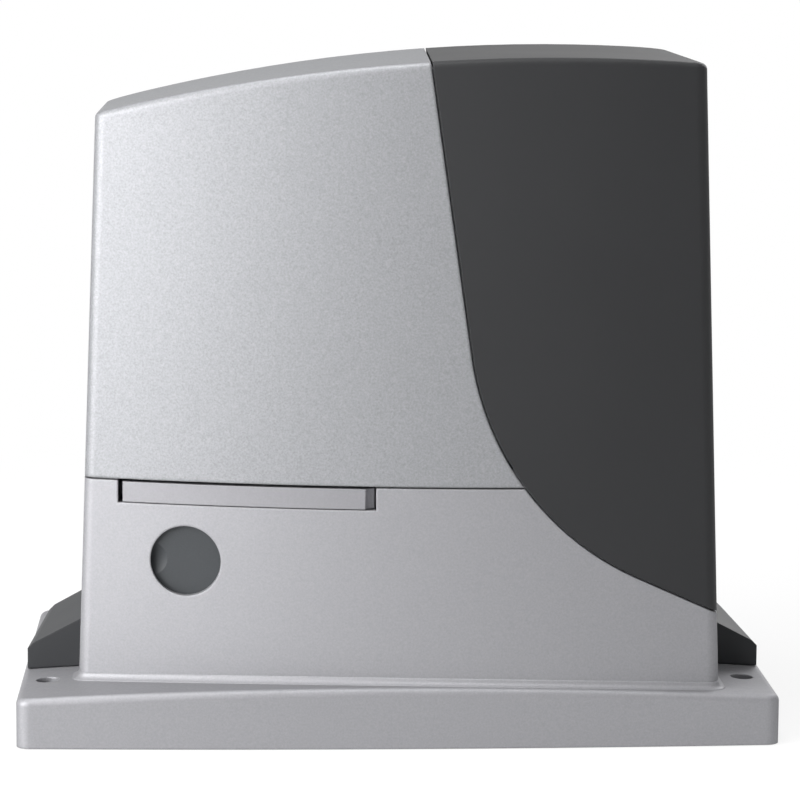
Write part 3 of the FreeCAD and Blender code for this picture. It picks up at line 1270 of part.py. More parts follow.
node(turned("z", ("trafo_x", "trafo_y", "shelf_z + 3"), [
    ("0", "trafo_radius * 0.38"), ("0", "trafo_radius * 0.9"), ("5", "trafo_radius"), ("trafo_height - 5", "trafo_radius"),
    ("trafo_height", "trafo_radius * 0.9"), ("trafo_height", "trafo_radius * 0.38")]), "transformer")
node(turned("z", ("trafo_x", "trafo_y", "shelf_z + 3 + trafo_height"), [
    ("-trafo_height + 1", "0"), ("-trafo_height + 1", "3"), ("0", "3"), ("0", "trafo_radius * 0.62"),
    ("1.5", "trafo_radius * 0.62"), ("3", "trafo_radius * 0.3"), ("3", "6"), ("7", "6"), ("7", "0")]), "transformer_clamp")
node(turned("z", ("cable_x", "cable_y", "floor_top"), [
    ("-floor_wall - 2", "0"), ("-floor_wall - 2", "cable_radius - 6"), ("-floor_wall - 0.2", "cable_radius - 0.3"),
    ("0", "cable_radius - 0.3"), ("0", "cable_radius + 3"), ("2", "cable_radius + 3"), ("2", "cable_radius - 4"),
    ("-floor_wall", "cable_radius - 8"), ("-floor_wall", "0")]), "cable_membrane")

doc.recompute()
for item in doc.Objects:
    if "Invalid" in item.State or "Error" in item.State:
        raise RuntimeError("failed: " + item.Label)
os.makedirs("parts", exist_ok=True)
for label, item in NODES.items():
    shape = item.Shape
    if shape.isNull() or not shape.isValid():
        raise RuntimeError("bad shape: " + label)
    shape.exportStep("parts/%s.step" % label)
    size = shape.BoundBox
    print("%-22s %2d solids, %9.1f mm3, %s" % (label, len(shape.Solids), shape.Volume, size))
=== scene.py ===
"""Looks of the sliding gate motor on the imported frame: painted castings and covers, lock, gear train, electronics and
wires, with a studio of softboxes round it."""

import math

import bpy
import numpy as np
from mathutils import Matrix, Vector


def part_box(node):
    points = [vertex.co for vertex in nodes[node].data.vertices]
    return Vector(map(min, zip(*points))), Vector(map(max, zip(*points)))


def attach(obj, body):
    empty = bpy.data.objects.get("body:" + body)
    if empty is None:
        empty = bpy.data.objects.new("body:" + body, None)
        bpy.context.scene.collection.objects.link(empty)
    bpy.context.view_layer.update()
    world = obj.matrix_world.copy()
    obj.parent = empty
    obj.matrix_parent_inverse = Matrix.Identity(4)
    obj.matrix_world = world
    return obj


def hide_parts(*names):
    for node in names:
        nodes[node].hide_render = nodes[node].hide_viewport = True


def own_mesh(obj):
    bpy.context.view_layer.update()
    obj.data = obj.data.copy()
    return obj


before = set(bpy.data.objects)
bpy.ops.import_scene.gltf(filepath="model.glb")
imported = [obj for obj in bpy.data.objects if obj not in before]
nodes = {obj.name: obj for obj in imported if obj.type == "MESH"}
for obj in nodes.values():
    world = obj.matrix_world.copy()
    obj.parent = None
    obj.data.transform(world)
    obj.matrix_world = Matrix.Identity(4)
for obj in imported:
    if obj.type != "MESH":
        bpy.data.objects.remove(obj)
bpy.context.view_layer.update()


# Shared effects

def effect(name, inputs, outputs):
    """An empty node group with named sockets. inputs and outputs are lists of (name, kind, default)."""
    group = bpy.data.node_groups.new(name, "ShaderNodeTree")
    for label, kind, default in inputs:
        socket = group.interface.new_socket(label, in_out="INPUT", socket_type="NodeSocket" + kind)
        if default is not None:
            socket.default_value = default
    for label, kind in outputs:
        group.interface.new_socket(label, in_out="OUTPUT", socket_type="NodeSocket" + kind)
    return group, group.nodes.new("NodeGroupInput"), group.nodes.new("NodeGroupOutput")


class Wiring:
    """Short calls that add and join nodes in one tree."""

    def __init__(self, tree):
        self.tree = tree

    def add(self, kind, **settings):
        node = self.tree.nodes.new("ShaderNode" + kind)
        for key, value in settings.items():
            setattr(node, key, value)
        return node

    def join(self, source, target):
        self.tree.links.new(source, target)

    def feed(self, socket, value):
        """Links value to the socket where it is a socket itself, and writes it there otherwise."""
        if isinstance(value, bpy.types.NodeSocket):
            self.join(value, socket)
        else:
            socket.default_value = value

    def maths(self, operation, first, second=0.0, third=None, clamp=False):
        node = self.add("Math", operation=operation, use_clamp=clamp)
        self.feed(node.inputs[0], first)
        self.feed(node.inputs[1], second)
        if third is not None:
            self.feed(node.inputs[2], third)
        return node.outputs[0]

    def vector(self, operation, first, second):
        node = self.add("VectorMath", operation=operation)
        self.feed(node.inputs[0], first)
        self.feed(node.inputs[1], second)
        return node.outputs["Value" if operation in ("LENGTH", "DOT_PRODUCT") else "Vector"]

    def spot(self):
        return self.add("TexCoord").outputs["Object"]

    def noise(self, where, scale, detail=2.0, rough=0.5):
        node = self.add("TexNoise")
        self.feed(node.inputs["Vector"], where)
        self.feed(node.inputs["Scale"], scale)
        node.inputs["Detail"].default_value = detail
        node.inputs["Roughness"].default_value = rough
        return node.outputs["Fac"]

    def blend(self, share, first, second, how="MIX"):
        node = self.add("Mix", data_type="RGBA", blend_type=how)
        self.feed(node.inputs["Factor"], share)
        colours = [s for s in node.inputs if s.type == "RGBA"]
        self.feed(colours[0], first)
        self.feed(colours[1], second)
        return [s for s in node.outputs if s.type == "RGBA"][0]

    def scaled(self, colour, amount):
        """The colour times a number that varies over the surface."""
        node = self.add("VectorMath", operation="SCALE")
        self.feed(node.inputs[0], colour)
        self.feed(node.inputs["Scale"], amount)
        return node.outputs["Vector"]

    def between(self, value, low, high, start=0.0, end=1.0):
        node = self.add("MapRange")
        self.feed(node.inputs["Value"], value)
        for label, number in (("From Min", low), ("From Max", high), ("To Min", start), ("To Max", end)):
            self.feed(node.inputs[label], number)
        return node.outputs["Result"]


def make_fleck():
    """Sprayed metallic paint: fine bright flakes, a sandy skin and a slow drift of tone."""
    group, given, result = effect("sprayed_metallic", [
        ("Colour", "Color", (0.5, 0.5, 0.5, 1)), ("Flake size", "Float", 1500.0), ("Flakes", "Float", 0.1),
        ("Drift", "Float", 0.03), ("Roughness", "Float", 0.4)],
        [("Colour", "Color"), ("Roughness", "Float"), ("Height", "Float")])
    w = Wiring(group)
    where = w.spot()
    flakes = w.noise(where, given.outputs["Flake size"], 2.0, 0.65)
    skin = w.noise(where, w.maths("MULTIPLY", given.outputs["Flake size"], 0.42), 3.0, 0.55)
    drift = w.noise(where, 9.0, 2.0)
    sparkle = w.maths("MULTIPLY", w.maths("SUBTRACT", flakes, 0.5), given.outputs["Flakes"])
    slow = w.maths("MULTIPLY", w.maths("SUBTRACT", drift, 0.5), given.outputs["Drift"])
    amount = w.maths("ADD", w.maths("ADD", sparkle, slow), 1.0)
    w.join(w.scaled(given.outputs["Colour"], amount), result.inputs["Colour"])
    rough = w.maths("ADD", given.outputs["Roughness"], w.maths("MULTIPLY", w.maths("SUBTRACT", skin, 0.5), 0.16))
    w.join(rough, result.inputs["Roughness"])
    w.join(w.maths("ADD", w.maths("MULTIPLY", skin, 0.7), w.maths("MULTIPLY", flakes, 0.3)), result.inputs["Height"])
    return group


def make_moulded():
    """Moulded plastic: a fine spark-eroded grain and faint flow marks."""
    group, given, result = effect("moulded_grain", [
        ("Colour", "Color", (0.05, 0.05, 0.05, 1)), ("Grain size", "Float", 2200.0), ("Spread", "Float", 0.06),
        ("Roughness", "Float", 0.5)],
        [("Colour", "Color"), ("Roughness", "Float"), ("Height", "Float")])
    w = Wiring(group)
    where = w.spot()
    grain = w.noise(where, given.outputs["Grain size"], 1.5, 0.6)
    flow = w.noise(where, 14.0, 3.0, 0.45)
    tone = w.maths("ADD", w.maths("MULTIPLY", w.maths("SUBTRACT", flow, 0.5), given.outputs["Spread"]),
                   w.maths("MULTIPLY", w.maths("SUBTRACT", grain, 0.5), given.outputs["Spread"]))
    w.join(w.scaled(given.outputs["Colour"], w.maths("ADD", tone, 1.0)), result.inputs["Colour"])
    rough = w.maths("ADD", given.outputs["Roughness"], w.maths("MULTIPLY", w.maths("SUBTRACT", flow, 0.5), 0.12))
    w.join(rough, result.inputs["Roughness"])
    w.join(grain, result.inputs["Height"])
    return group


def make_machined():
    """Machined or drawn metal: fine marks stretched along one axis, with stains in broad patches."""
    group, given, result = effect("machined_marks", [
        ("Colour", "Color", (0.5, 0.5, 0.5, 1)), ("Marks", "Vector", (60.0, 60.0, 3000.0)), ("Depth", "Float", 0.12),
        ("Stain", "Float", 0.15), ("Roughness", "Float", 0.3)],
        [("Colour", "Color"), ("Roughness", "Float"), ("Height", "Float")])
    w = Wiring(group)
    where = w.spot()
    stretched = w.vector("MULTIPLY", where, given.outputs["Marks"])
    marks = w.noise(stretched, 1.0, 3.0, 0.6)
    stain = w.noise(where, 70.0, 4.0, 0.6)
    tone = w.maths("ADD", w.maths("MULTIPLY", w.maths("SUBTRACT", marks, 0.5), given.outputs["Depth"]),
                   w.maths("MULTIPLY", w.maths("SUBTRACT", stain, 0.5), given.outputs["Stain"]))
    w.join(w.scaled(given.outputs["Colour"], w.maths("ADD", tone, 1.0)), result.inputs["Colour"])
    rough = w.maths("ADD", w.maths("MULTIPLY", w.maths("SUBTRACT", marks, 0.5), 0.3), given.outputs["Roughness"])
    rough = w.maths("ADD", rough, w.maths("MULTIPLY", w.maths("SUBTRACT", stain, 0.5), 0.2), clamp=True)
    w.join(rough, result.inputs["Roughness"])
    w.join(marks, result.inputs["Height"])
    return group


def make_soft_edge():
    """Edges that look rounded: the normal turned over a small radius, and a mask that is 1 on the edge itself, on which
    finished() can paint a lighter highlight colour.
    """
    group, given, result = effect("soft_edge", [("Radius", "Float", 0.0006)], [("Normal", "Vector"), ("Edge", "Float")])
    w = Wiring(group)
    bevel = w.add("Bevel", samples=4)
    w.join(given.outputs["Radius"], bevel.inputs["Radius"])
    facing = w.vector("DOT_PRODUCT", bevel.outputs["Normal"], w.add("NewGeometry").outputs["Normal"])
    w.join(bevel.outputs["Normal"], result.inputs["Normal"])
    w.join(w.between(facing, 0.97, 0.75), result.inputs["Edge"])
    return group


FLECK, MOULDED, MACHINED, SOFT_EDGE = make_fleck(), make_moulded(), make_machined(), make_soft_edge()


# Materials

def grey(level, blue=0.0, red=0.0):
    """A near-neutral colour in linear light."""
    return (level * (1 + red), level, level * (1 + blue), 1.0)


def blank(name):
    """A new material with its Principled shader and a Wiring for it."""
    material = bpy.data.materials.new("finish_" + name)
    material.use_nodes = True
    return material, Wiring(material.node_tree), material.node_tree.nodes["Principled BSDF"]


def finished(name, group, values, metallic=0.0, bump=0.1, depth=0.00005, edge=0.0, painted_edge_highlight=None, specular=0.5, rim=1.0):
    """A material whose colour, roughness and height come from one shared effect. depth is the height of its bumps in
    metres, edge the radius of its softened edges, and painted_edge_highlight a lighter colour painted on those edges as
    a highlight, as if they caught light. rim is the tint of its reflections at a grazing angle."""
    material, w, shader = blank(name)
    effect_node = w.add("Group", node_tree=group)
    for label, value in values.items():
        effect_node.inputs[label].default_value = value
    colour = effect_node.outputs["Colour"]
    bumps = w.add("Bump")
    bumps.inputs["Strength"].default_value = bump
    bumps.inputs["Distance"].default_value = depth
    w.join(effect_node.outputs["Height"], bumps.inputs["Height"])
    if edge:
        soft = w.add("Group", node_tree=SOFT_EDGE)
        soft.inputs["Radius"].default_value = edge
        w.join(soft.outputs["Normal"], bumps.inputs["Normal"])
        # Painted highlight: a lighter colour painted on the edge mask, as if the edges caught light.
        if painted_edge_highlight:
            colour = w.blend(soft.outputs["Edge"], colour, painted_edge_highlight)
    w.join(colour, shader.inputs["Base Color"])
    w.join(effect_node.outputs["Roughness"], shader.inputs["Roughness"])
    w.join(bumps.outputs["Normal"], shader.inputs["Normal"])
    shader.inputs["Metallic"].default_value = metallic
    shader.inputs["Specular IOR Level"].default_value = specular
    shader.inputs["Specular Tint"].default_value = (rim, rim, rim, 1)
    return material


def paint(name, level, roughness, flakes, edge=0.0008, tint=(0.055, 0.008)):
    """Sprayed silver paint. flakes is how much its flakes vary, and tint its share of extra blue and red."""
    return finished(name, FLECK, {"Colour": grey(level, *tint), "Flake size": 1150.0, "Flakes": flakes,
                                  "Drift": 0.03, "Roughness": roughness},
                    metallic=0.55, bump=0.3, depth=0.00006, edge=edge, specular=0.3,
                    rim=0.3)


def plastic(name, colour, roughness, size=2200.0, spread=0.08, bump=0.15, edge=0.0006, specular=0.5):
    """Moulded plastic or rubber. size is the scale of its grain, and spread how much its tone varies."""
    return finished(name, MOULDED, {"Colour": colour, "Grain size": size, "Spread": spread, "Roughness": roughness},
                    bump=bump, edge=edge, specular=specular)


def metal(name, colour, roughness, marks=(60, 60, 3000), stain=0.2, bump=0.12, edge=0.0, painted_edge_highlight=None):
    """Bare or plated metal. marks is the scale of its tool marks along x, y and z, and painted_edge_highlight a lighter
    colour painted on its edges as a highlight.
    """
    return finished(name, MACHINED, {"Colour": colour, "Marks": marks, "Depth": 0.25, "Stain": stain,
                                     "Roughness": roughness},
                    metallic=1.0, bump=bump, depth=0.00003, edge=edge, painted_edge_highlight=painted_edge_highlight)


def circuit_board():
    """Green solder mask with lighter tracks and round tinned pads."""
    track_scale, pad_scale, rim_start, rim_end = 170.0, 260.0, 0.2, 0.16
    material, w, shader = blank("circuit_green")
    where = w.spot()
    cells = w.add("TexVoronoi", feature="F1", distance="CHEBYCHEV")
    w.feed(cells.inputs["Vector"], where)
    cells.inputs["Scale"].default_value = track_scale
    cells.inputs["Randomness"].default_value = 0.82
    tracks = w.maths("PINGPONG", w.maths("MULTIPLY", cells.outputs["Distance"], 5.0), 0.5)
    lines = w.between(tracks, 0.2, 0.3)
    pads = w.add("TexVoronoi", feature="F1")
    w.feed(pads.inputs["Vector"], where)
    pads.inputs["Scale"].default_value = pad_scale
    pads.inputs["Randomness"].default_value = 0.35
    dots = w.between(pads.outputs["Distance"], rim_start, rim_end)
    green = w.blend(lines, (0.006, 0.075, 0.028, 1), (0.012, 0.15, 0.05, 1))
    tint = w.scaled(green, w.between(w.noise(where, 60.0, 3.0), 0.3, 0.7, 0.85, 1.15))
    colour = w.blend(dots, tint, (0.55, 0.55, 0.52, 1))
    w.join(colour, shader.inputs["Base Color"])
    w.join(w.maths("MULTIPLY", dots, 0.9), shader.inputs["Metallic"])
    w.join(w.between(w.noise(where, 900.0, 2.0), 0.0, 1.0, 0.25, 0.42), shader.inputs["Roughness"])
    bumps = w.add("Bump")
    bumps.inputs["Strength"].default_value = 0.4
    bumps.inputs["Distance"].default_value = 0.00008
    w.join(w.maths("ADD", lines, dots), bumps.inputs["Height"])
    w.join(bumps.outputs["Normal"], shader.inputs["Normal"])
    return material


def banded(name, first, second, axis, pitch, roughness, metallic=0.0, share=0.5, bump=0.6, wobble=0.0):
    """Thin bands across one axis, such as laminations, tape or wound wire. pitch is one band and its gap in metres."""
    material, w, shader = blank(name)
    where = w.spot()
    split = w.add("SeparateXYZ")
    w.join(where, split.inputs[0])
    along = split.outputs[axis]
    if wobble:
        waver = w.maths("SUBTRACT", w.noise(where, 240.0, 2.0), 0.5)
        along = w.maths("ADD", along, w.maths("MULTIPLY", waver, wobble))
    wave = w.maths("PINGPONG", w.maths("DIVIDE", along, pitch), 0.5)
    line = w.between(wave, share * 0.5 - 0.08, share * 0.5 + 0.08)
    dirt = w.between(w.noise(where, 90.0, 4.0), 0.25, 0.75, 0.8, 1.15)
    w.join(w.scaled(w.blend(line, first, second), dirt), shader.inputs["Base Color"])
    grain = w.noise(where, 500.0, 2.0)
    w.join(w.between(grain, 0.0, 1.0, roughness - 0.1, roughness + 0.12), shader.inputs["Roughness"])
    shader.inputs["Metallic"].default_value = metallic
    bumps = w.add("Bump")
    bumps.inputs["Strength"].default_value = bump
    bumps.inputs["Distance"].default_value = 0.0002
    w.join(wave, bumps.inputs["Height"])
    w.join(bumps.outputs["Normal"], shader.inputs["Normal"])
    return material


FINISHES = {
    "silver_cover": paint("silver_cover", 0.252, 0.5, 0.66, edge=0.0016, tint=(0.043, -0.014)),
    "silver_casting": paint("silver_casting", 0.265, 0.52, 0.3, edge=0.0012, tint=(0.05, 0.002)),
    "silver_handle": paint("silver_handle", 0.232, 0.5, 0.2, edge=0.0006),
    "dark_cover": plastic("dark_cover", grey(0.021, 0.06, -0.02), 0.55, size=2600.0, spread=0.1, bump=0.1,
                          edge=0.0009, specular=0.22),
    "dark_plastic": plastic("dark_plastic", grey(0.036, 0.06, -0.03), 0.52, size=2400.0, bump=0.12, edge=0.0009,
                            specular=0.14),
    "dark_shutter": plastic("dark_shutter", grey(0.035, 0.1, -0.09), 0.5, size=1400.0, spread=0.3, edge=0.0005,
                            specular=0.3),
    "black_plastic": plastic("black_plastic", grey(0.016), 0.42),
    "grey_plastic": plastic("grey_plastic", grey(0.09, 0.04, -0.04), 0.5),
    "terminal_plastic": plastic("terminal_plastic", (0.02, 0.11, 0.06, 1), 0.42),
    "button_plastic": plastic("button_plastic", grey(0.32), 0.4, edge=0.0003),
    "button_red": plastic("button_red", (0.42, 0.02, 0.015, 1), 0.4, edge=0.0003),
    "black_parts": plastic("black_parts", grey(0.02), 0.36, spread=0.4, edge=0.0003),
    "transformer_tape": banded("transformer_tape", (0.5, 0.33, 0.05, 1), (0.42, 0.26, 0.035, 1), 2, 0.009, 0.35,
                               share=0.08, bump=0.2),
    "black_rubber": plastic("black_rubber", grey(0.012), 0.7, size=900.0, bump=0.2, specular=0.35),
    "gasket": plastic("gasket", (0.16, 0.11, 0.06, 1), 0.85, size=700.0, spread=0.3, bump=0.4, edge=0.0),
    "zinc_steel": metal("zinc_steel", (0.56, 0.58, 0.6, 1), 0.3, marks=(300, 300, 300), stain=0.3, edge=0.0003),
    "bare_steel": metal("bare_steel", (0.5, 0.49, 0.48, 1), 0.26, edge=0.0003),
    # gear_steel gets a painted highlight: a lighter colour painted on its edges.
    "gear_steel": metal("gear_steel", (0.36, 0.35, 0.34, 1), 0.34, marks=(40, 2600, 40), stain=0.35, edge=0.0004,
                        painted_edge_highlight=(0.62, 0.61, 0.6, 1)),
    "spring_steel": metal("spring_steel", (0.42, 0.41, 0.4, 1), 0.24),
    "bearing_steel": metal("bearing_steel", (0.55, 0.55, 0.55, 1), 0.2, marks=(200, 200, 200), stain=0.1),
    "lamination": banded("lamination", (0.3, 0.29, 0.28, 1), (0.12, 0.12, 0.12, 1), 2, 0.001, 0.4, metallic=1.0),
    "magnet": metal("magnet", (0.06, 0.06, 0.065, 1), 0.5, marks=(500, 500, 500), stain=0.5),
    "motor_paint": plastic("motor_paint", grey(0.014), 0.28, size=600.0, spread=0.3, bump=0.25),
    "raw_aluminium": metal("raw_aluminium", (0.6, 0.61, 0.62, 1), 0.44, marks=(700, 700, 700), stain=0.25, bump=0.3,
                           edge=0.0006),
    "bronze_wheel": metal("bronze_wheel", (0.62, 0.38, 0.14, 1), 0.32, marks=(500, 40, 500), stain=0.3),
    "brass_bush": metal("brass_bush", (0.72, 0.52, 0.2, 1), 0.28),
    "brass_lock": metal("brass_lock", (0.75, 0.56, 0.24, 1), 0.24, marks=(200, 200, 200), edge=0.0003),
    "zinc_lock": metal("zinc_lock", (0.42, 0.43, 0.44, 1), 0.36, marks=(400, 400, 400), stain=0.3),
    "copper_winding": banded("copper_winding", (0.7, 0.26, 0.09, 1), (0.35, 0.1, 0.03, 1), 2, 0.0012, 0.3,
                             metallic=1.0, wobble=0.0006),
    "copper": banded("copper", (0.75, 0.36, 0.2, 1), (0.12, 0.06, 0.04, 1), 0, 0.0024, 0.3, metallic=1.0, share=0.12),
    "carbon": plastic("carbon", grey(0.02), 0.6, size=1500.0, edge=0.0),
    "circuit_green": circuit_board(),
}
OILED_SCREWS = metal("oiled_screws", (0.05, 0.05, 0.052, 1), 0.42, marks=(400, 400, 400), stain=0.4, edge=0.0003)

for node in nodes.values():
    for place in node.material_slots:
        place.material = FINISHES[place.material.name.split(".")[0]]
for place in nodes["levelling_screws"].material_slots:
    place.material = OILED_SCREWS

# Pieces that are too fine for the solids

# Sizes in millimetres, as in the solids
MM = 0.001
HOUSING_HALF, HOUSING_REAR, HOUSING_DRAFT = 140.3, 84.0, math.tan(math.radians(1.9))
BOW_CENTRE, BOW_RADIUS = (50.0, 510.0), 600.0
FRONT_CORNER, REAR_CORNER = 6.0, 18.0
FOOT_CROWN, FOOT_ARCH = 26.5, 2660.9
CAP_CLEAR, CAP_MARGIN = 40.0, 6.0
ROOT_RADIUS, ROOT_THIN, ROOT_BEHIND, ROOT_UNDER = 3.0, 0.2, 0.6, 0.4
RING = 8
TERMINAL_X, BLOCK_PITCH, POLE_PITCH, TERMINAL_Y = 47.6, 18.0, 4.0, -68.6
BUNDLE_X, BUNDLE_RADIUS, FAN_TURN = 90.0, 4.5, 2.4
WIRE_RADIUS, LEAD_RADIUS = 0.9, 1.2
SPRING_WIRE, SPRING_TURNS, CLUTCH_TRAVEL = 0.7, 3, 4.05


def add_piece(name, points, faces, slot):
    """A smooth mesh object from points in millimetres and rows of corner numbers, riding on the base."""
    mesh = bpy.data.meshes.new(name)
    mesh.from_pydata((np.asarray(points) * MM).tolist(), [], faces)
    mesh.polygons.foreach_set("use_smooth", np.ones(len(mesh.polygons), dtype=bool))
    mesh.materials.append(FINISHES[slot])
    piece = bpy.data.objects.new(name, mesh)
    bpy.context.scene.collection.objects.link(piece)
    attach(piece, "base")
    return piece


def arc(centre, radius, start, end, count):
    """Points centre + radius (cos t, sin t), t in degrees from start to end, and their outward normals."""
    turn = np.radians(np.linspace(start, end, count))
    normal = np.stack([np.cos(turn), np.sin(turn)], -1)
    return np.array(centre) + radius * normal, normal


def housing_outline():
    """The housing's outline at z = 0, anticlockwise from above: the bowed front, two small front corners, straight
    sides and two larger rear corners, each an arc. Returns points and outward normals."""
    corner_x, rear_x, rear_y = HOUSING_HALF - FRONT_CORNER, HOUSING_HALF - REAR_CORNER, HOUSING_REAR - REAR_CORNER
    corner_y, meeting = {}, {}
    for side in (-1, 1):
        away = side * corner_x - BOW_CENTRE[0]
        corner_y[side] = BOW_CENTRE[1] - math.sqrt((BOW_RADIUS - FRONT_CORNER) ** 2 - away ** 2)
        meeting[side] = math.degrees(math.atan2(corner_y[side] - BOW_CENTRE[1], away)) % 360

    def wall(side, start, end):
        """A straight side from y = start to y = end, without its ends."""
        along = np.linspace(start, end, 60)[1:-1]
        across = np.full(len(along), float(side))
        return np.stack([across * HOUSING_HALF, along], -1), np.stack([across, np.zeros(len(along))], -1)

    parts = [arc(BOW_CENTRE, BOW_RADIUS, meeting[-1], meeting[1], 90),
             arc((corner_x, corner_y[1]), FRONT_CORNER, meeting[1], 360, 10),
             wall(1, corner_y[1], rear_y),
             arc((rear_x, rear_y), REAR_CORNER, 0, 90, 12),
             arc((-rear_x, rear_y), REAR_CORNER, 90, 180, 12),
             wall(-1, rear_y, corner_y[-1]),
             arc((-corner_x, corner_y[-1]), FRONT_CORNER, 180, meeting[-1], 10)]
    points = np.vstack([part[0] for part in parts])
    normals = np.vstack([part[1] for part in parts])
    keep = np.linalg.norm(points - np.roll(points, 1, axis=0), axis=1) > 1e-6
    return points[keep], normals[keep]


def casting_root():
    """The concave fillet where the housing stands on the foot. Its profile is a quarter circle of radius r,
    (r - r cos a, r - r sin a) outwards and upwards, closed behind the wall and under the foot's top, and carried round
    the housing's outline. The foot's top falls away as R - sqrt(R^2 - x^2). r shrinks beside the nut caps."""
    base, normal = housing_outline()
    beside = np.clip((np.abs(base[:, 1]) - CAP_CLEAR) / CAP_MARGIN, 0, 1)
    beside[np.abs(base[:, 0]) < HOUSING_HALF - 1] = 1
    radius = ROOT_THIN + (ROOT_RADIUS - ROOT_THIN) * beside * beside * (3 - 2 * beside)
    turn = np.linspace(0, np.pi / 2, 9)
    out = np.outer(radius, 1 - np.cos(turn))
    rise = np.outer(radius, 1 - np.sin(turn))
    flat = np.ones((len(base), 1))
    out = np.hstack([out, radius[:, None], -ROOT_BEHIND * flat, -ROOT_BEHIND * flat])
    rise = np.hstack([rise, -ROOT_UNDER * flat, -ROOT_UNDER * flat, radius[:, None]])
    x = base[:, :1] + normal[:, :1] * (out - FOOT_CROWN * HOUSING_DRAFT)
    z = FOOT_CROWN - (FOOT_ARCH - np.sqrt(FOOT_ARCH ** 2 - x ** 2)) + rise
    move = out - z * HOUSING_DRAFT
    points = np.stack([base[:, :1] + normal[:, :1] * move, base[:, 1:] + normal[:, 1:] * move, z], -1)
    rows, columns = z.shape
    index = np.arange(rows * columns).reshape(rows, columns)
    ahead, up = np.roll(index, -1, axis=0), np.roll(index, -1, axis=1)
    quads = np.stack([index, up, np.roll(ahead, -1, axis=1), ahead], -1).reshape(-1, 4)
    return add_piece("casting_root", points.reshape(-1, 3), quads.tolist(), "silver_casting")


def wires(name, knots, radius, slot):
    """Round wires through rows of knots. Each centre line is a Catmull-Rom curve, and each ring is
    centre + radius (cos t side + sin t lift), with both ends closed by a fan."""
    knots = np.asarray(knots, float)
    count = len(knots)
    padded = np.concatenate([2 * knots[:, :1] - knots[:, 1:2], knots, 2 * knots[:, -1:] - knots[:, -2:-1]], 1)
    t = np.linspace(0, 1, 9)[:-1][None, None, :, None]
    a, b, c, d = (padded[:, i:i + knots.shape[1] - 1, None] for i in range(4))
    line = 0.5 * (2 * b + (c - a) * t + (2 * a - 5 * b + 4 * c - d) * t ** 2 + (3 * b - a - 3 * c + d) * t ** 3)
    line = np.concatenate([line.reshape(count, -1, 3), knots[:, -1:]], 1)
    ahead = np.gradient(line, axis=1)
    ahead /= np.linalg.norm(ahead, axis=-1, keepdims=True)
    side = np.cross(ahead, np.array([0.35, 0.9, 0.25]))
    side /= np.linalg.norm(side, axis=-1, keepdims=True)
    lift = np.cross(ahead, side)
    turn = (np.arange(RING) * 2 * np.pi / RING)[:, None]
    ring = line[:, :, None] + radius * (np.cos(turn) * side[:, :, None] + np.sin(turn) * lift[:, :, None])
    steps = line.shape[1]
    index = np.arange(count * steps * RING).reshape(count, steps, RING)
    after = np.roll(index, -1, axis=2)
    quads = np.stack([index[:, :-1], after[:, :-1], after[:, 1:], index[:, 1:]], -1).reshape(-1, 4)
    hubs = index.size + np.arange(2 * count).reshape(2, count, 1) + np.zeros((1, 1, RING), int)
    first = np.stack([hubs[0], after[:, 0], index[:, 0]], -1).reshape(-1, 3)
    last = np.stack([hubs[1], index[:, -1], after[:, -1]], -1).reshape(-1, 3)
    points = np.vstack([ring.reshape(-1, 3), line[:, 0], line[:, -1]])
    return add_piece(name, points, quads.tolist() + first.tolist() + last.tolist(), slot)


def terminal_wires(name, poles, slot):
    """Wires from the terminal blocks' lower holes, drawn together under the board and down through the membrane. poles
    are hole numbers, four to a block. A wire's place in the bundle is r (cos kn, sin kn) for its hole number n."""
    low, high = (np.array(corner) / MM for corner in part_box("cable_membrane"))
    middle = (low + high) / 2
    poles = np.array(poles, float)
    x = TERMINAL_X + BLOCK_PITCH * (poles // 4) + POLE_PITCH * (poles % 4)
    spread = (poles - 7.5) / 7.5
    fan_x, fan_y = BUNDLE_RADIUS * np.cos(poles * FAN_TURN), BUNDLE_RADIUS * np.sin(poles * FAN_TURN)
    flat = np.ones(len(poles))
    stations = [(x, TERMINAL_Y * flat, 137.5 * flat),
                (x, TERMINAL_Y * flat, 127 * flat),
                (x + (BUNDLE_X - x) * 0.35, -66 + spread * 1.5, 112 + spread * 3),
                (BUNDLE_X + spread * 5, -56 + fan_y * 0.6, 90 * flat),
                (BUNDLE_X + 2 + fan_x, -38 + fan_y, 66 * flat),
                (middle[0] + fan_x, middle[1] - 14 + fan_y, 42 * flat),
                (middle[0] + fan_x, middle[1] + fan_y, (high[2] + 4) * flat),
                (middle[0] + fan_x, middle[1] + fan_y, (low[2] + 1) * flat)]
    return wires(name, np.stack([np.stack(station, -1) for station in stations], 1), WIRE_RADIUS, slot)


def release_spring():
    """The coil that shuts the clutch, drawn in place of the node of the same kind, which can't shorten and is hidden.
    Its centre line is (R cos t, R sin t) round the shaft with y rising evenly over three turns."""
    low, high = (np.array(corner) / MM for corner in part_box("clutch_spring"))
    middle, coil = (low + high) / 2, (high[0] - low[0]) / 2 - SPRING_WIRE
    turn = np.linspace(0, 2 * np.pi * SPRING_TURNS, 16 * SPRING_TURNS + 1)
    y = np.linspace(low[1] + SPRING_WIRE, high[1] - SPRING_WIRE, len(turn))
    knots = np.stack([middle[0] + coil * np.cos(turn), y, middle[2] - coil * np.sin(turn)], -1)
    spring = wires("release_spring", [knots], SPRING_WIRE, "spring_steel")
    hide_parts("clutch_spring")
    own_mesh(spring)


